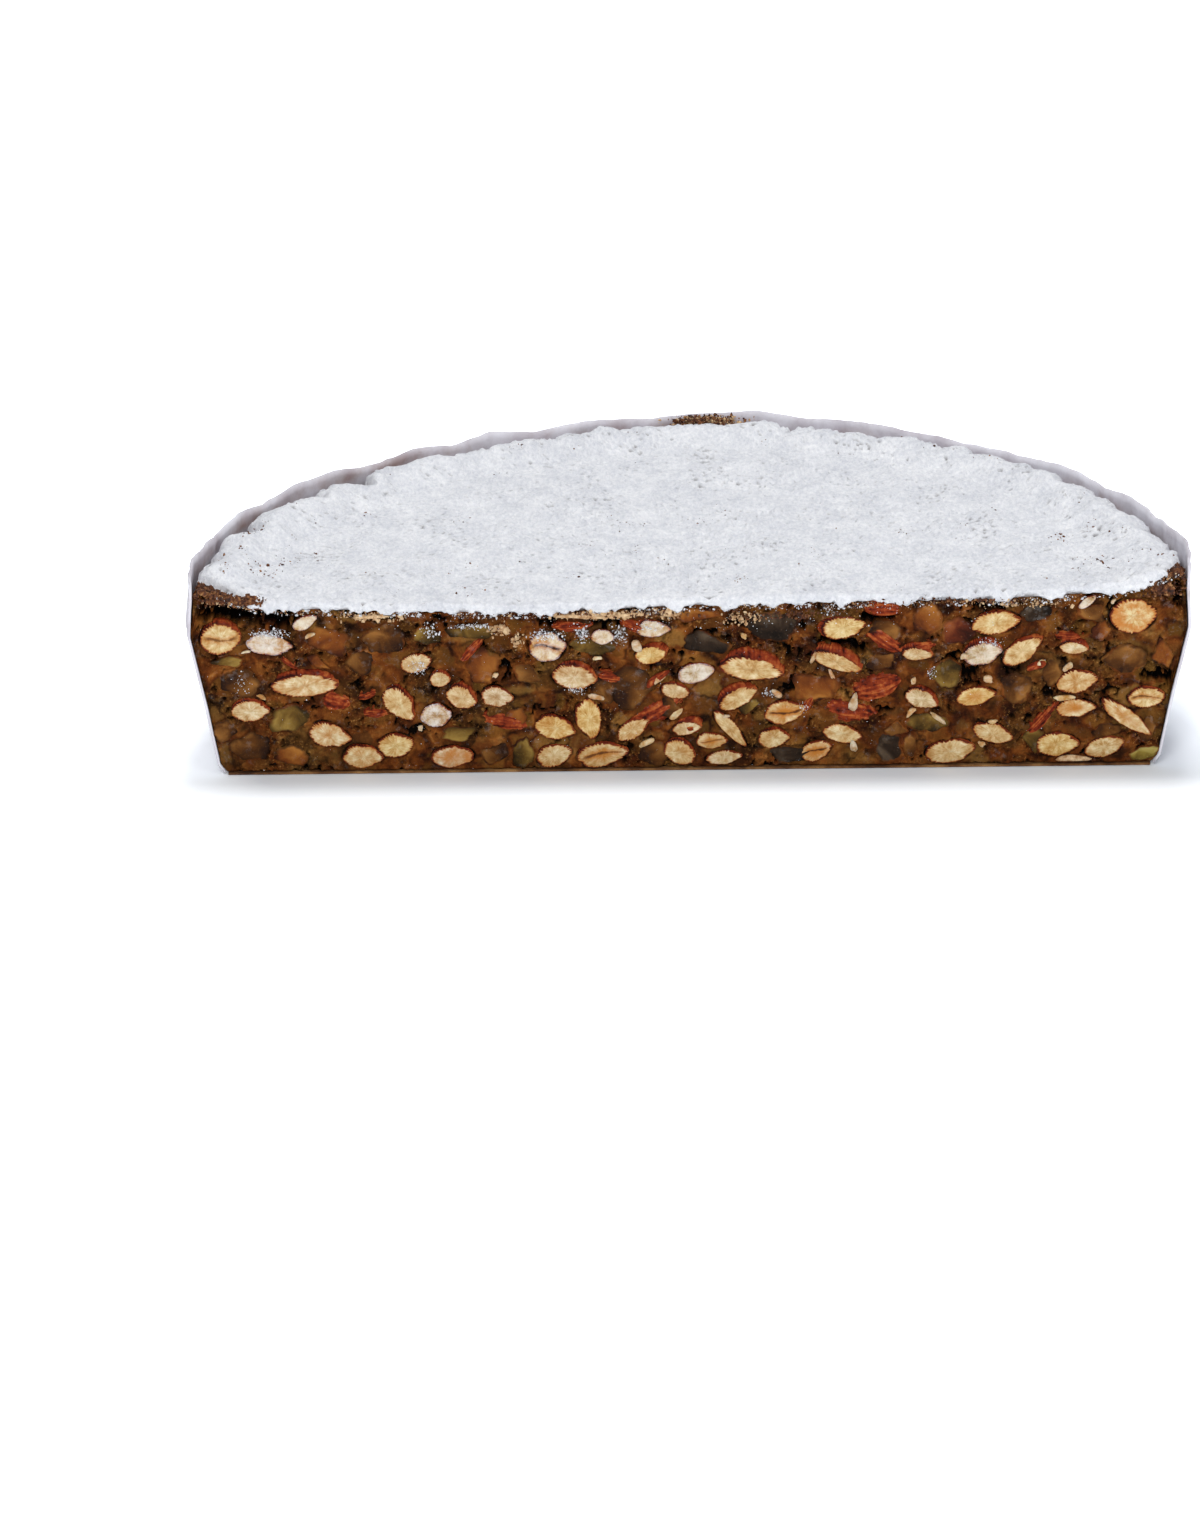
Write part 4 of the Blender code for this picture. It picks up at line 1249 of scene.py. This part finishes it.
RIM_ABOVE = 58.0 * MM  # only the frame collar's upper rim lies higher
rim_points = np.array([v.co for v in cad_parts["wafer_collar"].data.vertices])
rim_points = rim_points[rim_points[:, 2] > RIM_ABOVE]
rim_angles = np.arctan2(np.maximum(rim_points[:, 1] - CUT_Y, 0), rim_points[:, 0])
rim_order = np.argsort(rim_angles)


def make_collar():
    """The band as a sheet of the collar's inner wall, thickened outwards."""
    points = []
    for j in range(COLLAR_ROWS + 1):
        share = j / COLLAR_ROWS
        for i in range(COLLAR_TURNS + 1):
            angle = math.pi * i / COLLAR_TURNS
            past_fold = np.interp(math.degrees(angle), FOLDS, range(len(FOLDS))) % 1.0
            arch = math.sin(math.pi * past_fold)
            top = np.interp(angle, rim_angles[rim_order], rim_points[rim_order, 2])
            top += 0.9 * MM * fractal((angle * 9, 2.0, 0.0), 4) + (1.1 * arch - 0.5) * MM
            height = COLLAR_LOW + (top - COLLAR_LOW) * share
            hit = collar_point(angle, height)
            out = Vector((math.cos(angle), math.sin(angle), 0.0))
            wave = fractal((angle * 18, share * 2.0, 6.0), 3)
            bow = (0.35 + 0.65 * share**3) * 0.7 * MM * max(wave, -0.3) + 0.5 * MM * arch * share**3
            point = Vector((hit.x, hit.y, height)) + out * (0.05 * MM + bow)
            if i in (0, COLLAR_TURNS):
                point.y = CUT_Y - 0.2 * MM
            points.append(point)
    wide = COLLAR_TURNS + 1
    corners = [j * wide + i for j in range(COLLAR_ROWS) for i in range(COLLAR_TURNS)]
    faces = [(corner, corner + wide, corner + wide + 1, corner + 1) for corner in corners]
    made = new_object("wafer_band", points, faces)
    bpy.context.view_layer.objects.active = made
    wall = made.modifiers.new("wafer thickness", "SOLIDIFY")
    wall.thickness = WAFER_THICKNESS
    wall.offset = -1.0
    bpy.ops.object.modifier_apply(modifier=wall.name)
    return made


# Starch wafer: thin, matt and greyish white, slightly see-through over the dark cake, browned by syrup
# and by painted shade where it meets the sugar.
wafer = Stuff("starch_wafer")
stains = wafer.noise(14 * MM, 6.0, 0.6)
wafer_tone = wafer.ramp(stains, [(0.36, "#b9b2ba"), (0.50, "#cdc9d0"), (0.66, "#dcdae1")])
wafer_height = wafer.place()["Z"]
syrup_runs = wafer.noise(16 * MM, 6.0, 0.62)
below_sugar = wafer.between(wafer_height, 53.0 * MM, 55.5 * MM)
near_sugar = wafer.times(below_sugar, wafer.between(wafer_height, 60.0 * MM, 56.0 * MM))
# Partly a syrup stain, partly painted shade where the sugar meets the wafer.
stain_and_contact_shade = wafer.times(near_sugar, wafer.between(syrup_runs, 0.44, 0.66, 0.10, 0.75))
stained_and_shaded_tone = wafer.mix(stain_and_contact_shade, wafer_tone, "#8a6a5c")
wafer.surface({"Base Color": stained_and_shaded_tone, "Roughness": 0.75, "Specular IOR Level": 0.3})
wafer.bump(stains, 0.6 * MM, 0.5)

wafer_band = make_collar()
wafer_band.data.materials.append(wafer.material)
finished(wafer_band, "wafer", "wafer_collar")

# Wafer base: the same wafer, flat, soaked and browned by the cake that stands on it.
base_wafer = Stuff("browned_base_wafer")
base_stains = base_wafer.noise(12 * MM, 7.0, 0.65)
base_tone = base_wafer.ramp(base_stains, [(0.36, "#3c220f"), (0.50, "#6b4524"), (0.68, "#a47a4a")])
base_wafer.surface({"Base Color": base_tone, "Roughness": 0.8, "Specular IOR Level": 0.3})
base_wafer.bump(base_stains, 0.4 * MM, 0.4)
base_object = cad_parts["wafer_base"]
base_object.data.materials.clear()
base_object.data.materials.append(base_wafer.material)


# --- Flakes, crumbs and dust ----------------------------------------------------------------------
# What the knife left on the face and along the sugar's edge: flakes of kernel and skin, brown crumbs of
# cake, and grains of icing sugar.
bpy.ops.mesh.primitive_ico_sphere_add(subdivisions=1, radius=1.0)
grain_shape = bpy.context.object
GRAIN_POINTS = np.array([v.co for v in grain_shape.data.vertices])
GRAIN_FACES = [tuple(p.vertices) for p in grain_shape.data.polygons]
bpy.data.objects.remove(grain_shape, do_unlink=True)


def scattered(name, spots, seed, material):
    """Grains of one kind as one mesh, each a jagged lump of its own. Each spot is a place and a
    radius."""
    dice = np.random.default_rng(seed)
    points, faces = [], []
    for place, radius in spots:
        stretch = dice.uniform(0.45, 1.5, 3)
        jagged = GRAIN_POINTS * dice.uniform(0.5, 1.4, (len(GRAIN_POINTS), 1)) * stretch * radius
        first = len(points)
        points += [Vector(place) + Vector(corner) for corner in jagged]
        faces += [tuple(first + corner for corner in face) for face in GRAIN_FACES]
    made = new_object(name, points, faces, material)
    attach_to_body(made, "root")
    for polygon in made.data.polygons:
        polygon.use_smooth = False


# Cake crumb: dry and dull, from dark paste to tan crust.
crumb = Stuff("panforte_crumb")
crumb_stops = [(0.38, "#2a1206"), (0.50, "#54290f"), (0.60, "#7f4f26"), (0.74, "#bd9362")]
crumb.surface({"Base Color": crumb.ramp(crumb.noise(1.6 * MM, 3.0, 0.7), crumb_stops), "Roughness": 0.85})

# Pale crust: the dry tan skin that forms on the cake's top, broken up by the knife.
crust = Stuff("dry_pale_crust")
crust_patches = crust.between(crust.noise(1.5 * MM, 4.0, 0.7), 0.35, 0.65)
crust.surface({"Base Color": crust.mix(crust_patches, "#9c6f45", "#d9bd95"), "Roughness": 0.85})

chance = random.Random(12)
Patch = namedtuple("Patch", "x z half_length half_height count smallest largest")


def grain_radius(smallest, largest):
    """A radius in metres between two in millimetres: mostly small grains and a few large ones."""
    return (smallest + (largest - smallest) * chance.random() ** 3) * MM


def patch_spots(patches, proud):
    """Random places on the face inside patches given in millimetres, proud of the cut by up to a
    length."""
    spots = []
    for patch in patches:
        for _ in range(patch.count):
            x = (patch.x + chance.uniform(-1, 1) * chance.uniform(0.3, 1.1) * patch.half_length) * MM
            z = (patch.z + max(min(chance.gauss(0, 0.45), 1.0), -1.0) * patch.half_height) * MM
            if 1 * MM < z < 60 * MM:
                place = (x, CUT_Y - chance.uniform(-0.2, 1.0) * proud, z)
                spots.append((place, grain_radius(patch.smallest, patch.largest)))
    return spots


def edge_spots(count, smallest, largest, above, below):
    """Random places along the line where the sugar meets the face."""
    spots = []
    for _ in range(count):
        x = chance.uniform(-143, 148) * MM
        gather = noise.noise(Vector((x / (9 * MM), 6.0, 0.0)))
        if gather < chance.uniform(-0.45, 0.35):
            continue
        z = cake_top(x, 0.0) + chance.uniform(-below, above) * MM
        spots.append(((x, CUT_Y - chance.uniform(-0.3, 0.9) * MM, z), grain_radius(smallest, largest)))
    return spots


def corner_spots(count, low_x, high_x, deepest):
    """Random places on the bared lip of the cake at an end of the cut."""
    spots = []
    for _ in range(count):
        x = chance.uniform(low_x, high_x) * MM
        depth = chance.random() ** 1.5 * deepest * MM
        place = (x, CUT_Y + depth, cake_top(x, depth) + chance.uniform(-0.3, 0.5) * MM)
        spots.append((place, grain_radius(0.15, 0.95)))
    return spots


def rear_spots(count, spread, inset, heights, sizes):
    """Random places where syrup crumbled at the back, in directions that spread about one. The inset is
    the least and the further distance from the collar, and its power."""
    least, further, power = inset
    spots = []
    for _ in range(count):
        angle = chance.gauss(math.pi / 2 - 0.055, spread)
        radius = wall_radius(angle) - (least + further * chance.random() ** power) * MM
        x, depth = radius * math.cos(angle), radius * math.sin(angle)
        place = (x, CUT_Y + depth, cake_top(x, depth) + chance.uniform(*heights) * MM)
        spots.append((place, grain_radius(*sizes)))
    return spots


def speck_spots(groups, at_ends):
    """Random places on the sugar, in small groups: near its edges, and the last groups at its two
    ends."""
    spots = []
    for group in range(groups):
        at_an_end = group >= groups - at_ends
        angle = chance.uniform(0.10, 0.42) if at_an_end else chance.uniform(0.06, math.pi - 0.06)
        if at_an_end and group % 2:
            angle = math.pi - angle
        from_wall = 0.18 * chance.random() if at_an_end else 0.9 * chance.random() ** 2
        radius = wall_radius(angle) * (1 - from_wall) - 6 * MM
        for _ in range(chance.randint(5, 15) if at_an_end else chance.randint(1, 9)):
            x = radius * math.cos(angle) + chance.gauss(0, 1.6) * MM
            depth = max(radius * math.sin(angle) + chance.gauss(0, 2.0) * MM, 1.0 * MM)
            way = math.atan2(depth, x)
            from_edge = wall_radius(way) - sugar_inset(way) - math.hypot(x, depth)
            if from_edge > 0.5 * MM:
                place = (x, CUT_Y + depth, sugar_height(x, CUT_Y + depth, from_edge)[0])
                spots.append((place, grain_radius(0.08, 0.50 if at_an_end else 0.36)))
    return spots


brown_crumbs = edge_spots(2600, 0.06, 0.38, 0.5, 1.5)
brown_crumbs += corner_spots(1300, -149.0, -127.0, 14.0) + corner_spots(480, 138.0, 149.0, 11.0)
torn_lips = [
    Patch(-138.0, 56.6, 10.0, 1.5, 520, 0.12, 0.9),
    Patch(142.0, 57.0, 6.0, 3.0, 340, 0.12, 0.8),
    Patch(-20.0, 51.0, 26.0, 1.2, 260, 0.10, 0.55),
    Patch(30.0, 50.2, 20.0, 1.4, 260, 0.10, 0.55),
    Patch(82.0, 54.4, 24.0, 0.8, 200, 0.10, 0.55),
]
brown_crumbs += patch_spots(torn_lips, 0.8 * MM)
brown_crumbs += rear_spots(800, 0.032, (0.3, 9.0, 1.3), (3.4, 7.4), (0.12, 0.75))
brown_crumbs += speck_spots(115, 30)
scattered("cake_crumbs", brown_crumbs, 5, crumb.material)

pale_lips = [
    Patch(-28.0, 50.8, 17.0, 1.3, 420, 0.10, 0.8),
    Patch(-96.0, 51.2, 12.0, 1.6, 160, 0.10, 0.7),
    Patch(-58.0, 46.6, 3.6, 2.6, 90, 0.12, 0.9),
    Patch(-52.4, 42.6, 2.0, 2.8, 50, 0.12, 0.8),
    Patch(14.6, 49.4, 8.0, 2.2, 110, 0.10, 0.7),
    Patch(100.0, 52.8, 18.0, 1.2, 120, 0.10, 0.6),
    Patch(-139.0, 56.0, 10.0, 1.8, 60, 0.10, 0.7),
    Patch(-7.0, 51.0, 5.0, 2.0, 110, 0.10, 0.7),
]
pale_crumbs = edge_spots(700, 0.06, 0.45, 0.5, 1.0) + patch_spots(pale_lips, 0.7 * MM)
pale_crumbs += rear_spots(420, 0.034, (0.5, 7.0, 1.6), (3.8, 7.2), (0.15, 0.9))
scattered("crust_crumbs", pale_crumbs, 6, crust.material)

dusty_patches = [
    Patch(-127.5, 45.8, 6.5, 1.8, 260, 0.05, 0.32),
    Patch(-82.8, 34.6, 3.0, 3.0, 180, 0.05, 0.30),
    Patch(-43.7, 44.6, 6.0, 1.8, 240, 0.05, 0.34),
    Patch(-66.5, 47.4, 7.0, 1.0, 220, 0.05, 0.30),
    Patch(-33.3, 45.0, 2.6, 3.0, 170, 0.05, 0.36),
    Patch(-21.8, 44.0, 2.6, 3.2, 170, 0.05, 0.36),
    Patch(-13.0, 46.4, 6.0, 1.8, 110, 0.05, 0.30),
    Patch(-136.0, 30.0, 4.0, 4.0, 70, 0.05, 0.22),
    Patch(-35.0, 26.6, 3.4, 1.2, 90, 0.05, 0.28),
    Patch(-79.0, 46.6, 3.0, 3.4, 80, 0.05, 0.40),
    Patch(23.6, 25.2, 2.6, 1.6, 90, 0.05, 0.26),
    Patch(34.6, 20.0, 2.4, 2.6, 50, 0.05, 0.20),
    Patch(72.6, 31.0, 1.6, 2.0, 50, 0.05, 0.22),
    Patch(90.6, 40.6, 4.6, 1.6, 110, 0.05, 0.22),
    Patch(42.0, 51.6, 3.0, 2.4, 80, 0.05, 0.26),
    Patch(0.0, 49.0, 140.0, 6.0, 380, 0.05, 0.20),
    Patch(0.0, 26.0, 142.0, 30.0, 300, 0.05, 0.14),
]
sugar_dust = patch_spots(dusty_patches, 0.8 * MM) + edge_spots(2000, 0.05, 0.42, 0.3, 1.5)
scattered("sugar_dust", sugar_dust, 7, sugar.material)

# Flakes: what they are of, then their place and size on the face.
flakes = [
    ("kernel", row(-115.2, 45.2, 3.3, 1.5, 30)),
    ("kernel", row(-134.3, 40.2, 3.0, 0.9, 10)),
    ("kernel", row(-82.3, 14.7, 1.8, 2.3)),
    ("kernel", row(-59.5, 31.8, 2.4, 1.5, 50)),
    ("kernel", row(-28.5, 37.0, 2.6, 1.5)),
    ("skin", row(-10.7, 30.0, 8.2, 3.0, 40)),
    ("kernel", row(-9.8, 30.2, 4.2, 1.8, 42)),
    ("kernel", row(-16.7, 41.2, 2.8, 4.6, 10)),
    ("kernel", row(-29.1, 24.5, 4.4, 1.8, -10)),
    ("kernel", row(-13.6, 9.6, 5.2, 2.2, 28)),
    ("kernel", row(15.8, 43.8, 1.8, 2.6, 30)),
    ("kernel", row(25.8, 25.0, 3.6, 1.8, -30)),
    ("kernel", row(42.4, 31.0, 1.4, 4.8, 25)),
    ("kernel", row(49.0, 21.9, 3.2, 6.2, -12)),
    ("kernel", row(57.0, 26.0, 4.8, 1.8, 12)),
    ("kernel", row(49.3, 7.4, 2.6, 4.4, 10)),
    ("kernel", row(67.1, 28.5, 1.4, 2.9, -30)),
    ("kernel", row(66.5, 18.3, 3.8, 1.6, 40)),
    ("kernel", row(74.2, 17.0, 5.4, 1.6, -35)),
    ("kernel", row(82.9, 36.4, 2.7, 2.0, 20)),
    ("kernel", row(90.1, 28.8, 3.9, 2.4, -20)),
    ("kernel", row(91.8, 15.1, 3.4, 1.3, 8)),
    ("skin", row(104.8, 33.1, 6.6, 3.2, 20)),
    ("kernel", row(106.4, 34.0, 2.6, 1.6, 20)),
    ("kernel", row(114.3, 32.5, 3.6, 2.6, 50)),
    ("kernel", row(113.1, 22.7, 7.0, 1.8, 6)),
    ("kernel", row(88.5, 7.7, 3.4, 1.8, -40)),
    ("crust", row(115.9, 2.6, 10.0, 2.4, 2)),
    ("crust", row(-33.0, 50.4, 17.0, 1.5, -2)),
    ("crust", row(-18.6, 50.8, 11.0, 1.2, 3)),
    ("crust", row(-97.0, 51.0, 13.0, 1.0, 4)),
    ("kernel", row(-130.6, 25.8, 3.0, 1.2, -20)),
    ("kernel", row(127.4, 53.8, 2.2, 1.0, 60)),
    ("kernel", row(36.6, 36.6, 1.0, 4.0, -30)),
    ("kernel", row(10.4, 17.6, 2.4, 1.2, 20)),
]
FLAKE_STEPS = 14
# A flake's front and back, in millimetres proud of the cut.
FLAKE_FRONT, FLAKE_BACK = 0.75, 0.05


def flake_mesh(name, piece, stuff, seed):
    """A thin, curled chip with a broken edge."""
    dice = random.Random(seed)
    curl = dice.uniform(0.2, 0.8) * MM
    points, spots = [], []
    raw = [dice.uniform(0.3, 1.3) for _ in range(FLAKE_STEPS)]
    edge = [0.3 * raw[k - 1] + 0.5 * raw[k] + 0.3 * raw[(k + 1) % FLAKE_STEPS] for k in range(FLAKE_STEPS)]
    for proud in (FLAKE_FRONT, FLAKE_BACK):
        for share in (0.0, 0.5, 1.0):
            for step in range(FLAKE_STEPS if share else 1):
                angle = math.tau * step / FLAKE_STEPS
                along = math.cos(angle) * share * edge[step] * piece.length / 2
                x, z = turned(piece, along, math.sin(angle) * share * edge[step] * piece.width / 2)
                lift = curl * (along / (piece.length / 2)) ** 2 * dice.uniform(0.8, 1.0)
                points.append(Vector((x, CUT_Y - proud * MM - lift, z)))
                spots.append((dice.random(), 0.0, 0.6 * share))
    size = 1 + 2 * FLAKE_STEPS
    front = ring_faces(2, FLAKE_STEPS)
    faces = front + [tuple(size + corner for corner in face[::-1]) for face in front]
    rim, back = 1 + FLAKE_STEPS, size + 1 + FLAKE_STEPS
    for step in range(FLAKE_STEPS):
        after = (step + 1) % FLAKE_STEPS
        faces.append((rim + step, back + step, back + after, rim + after))
    made = new_object(name, points, faces, stuff.material)
    count = len(points)
    pale, toast = dice.uniform(0, 1), dice.uniform(0, 0.5)
    attach(made.data, {"spot": spots, "browning": [(toast, 0, pale)] * count, "flaws": [(0, 0.2, 0)] * count})
    return made


for kind, stuff, slot in (("kernel", kernel, "almond"), ("skin", skin, "skin"), ("crust", crust, "cake")):
    chosen = [piece for named, piece in flakes if named == kind]
    chips = [flake_mesh(f"{kind}_flake_{n}", piece, stuff, 500 + n) for n, piece in enumerate(chosen)]
    finished(joined(f"{kind}_flakes", chips), slot)
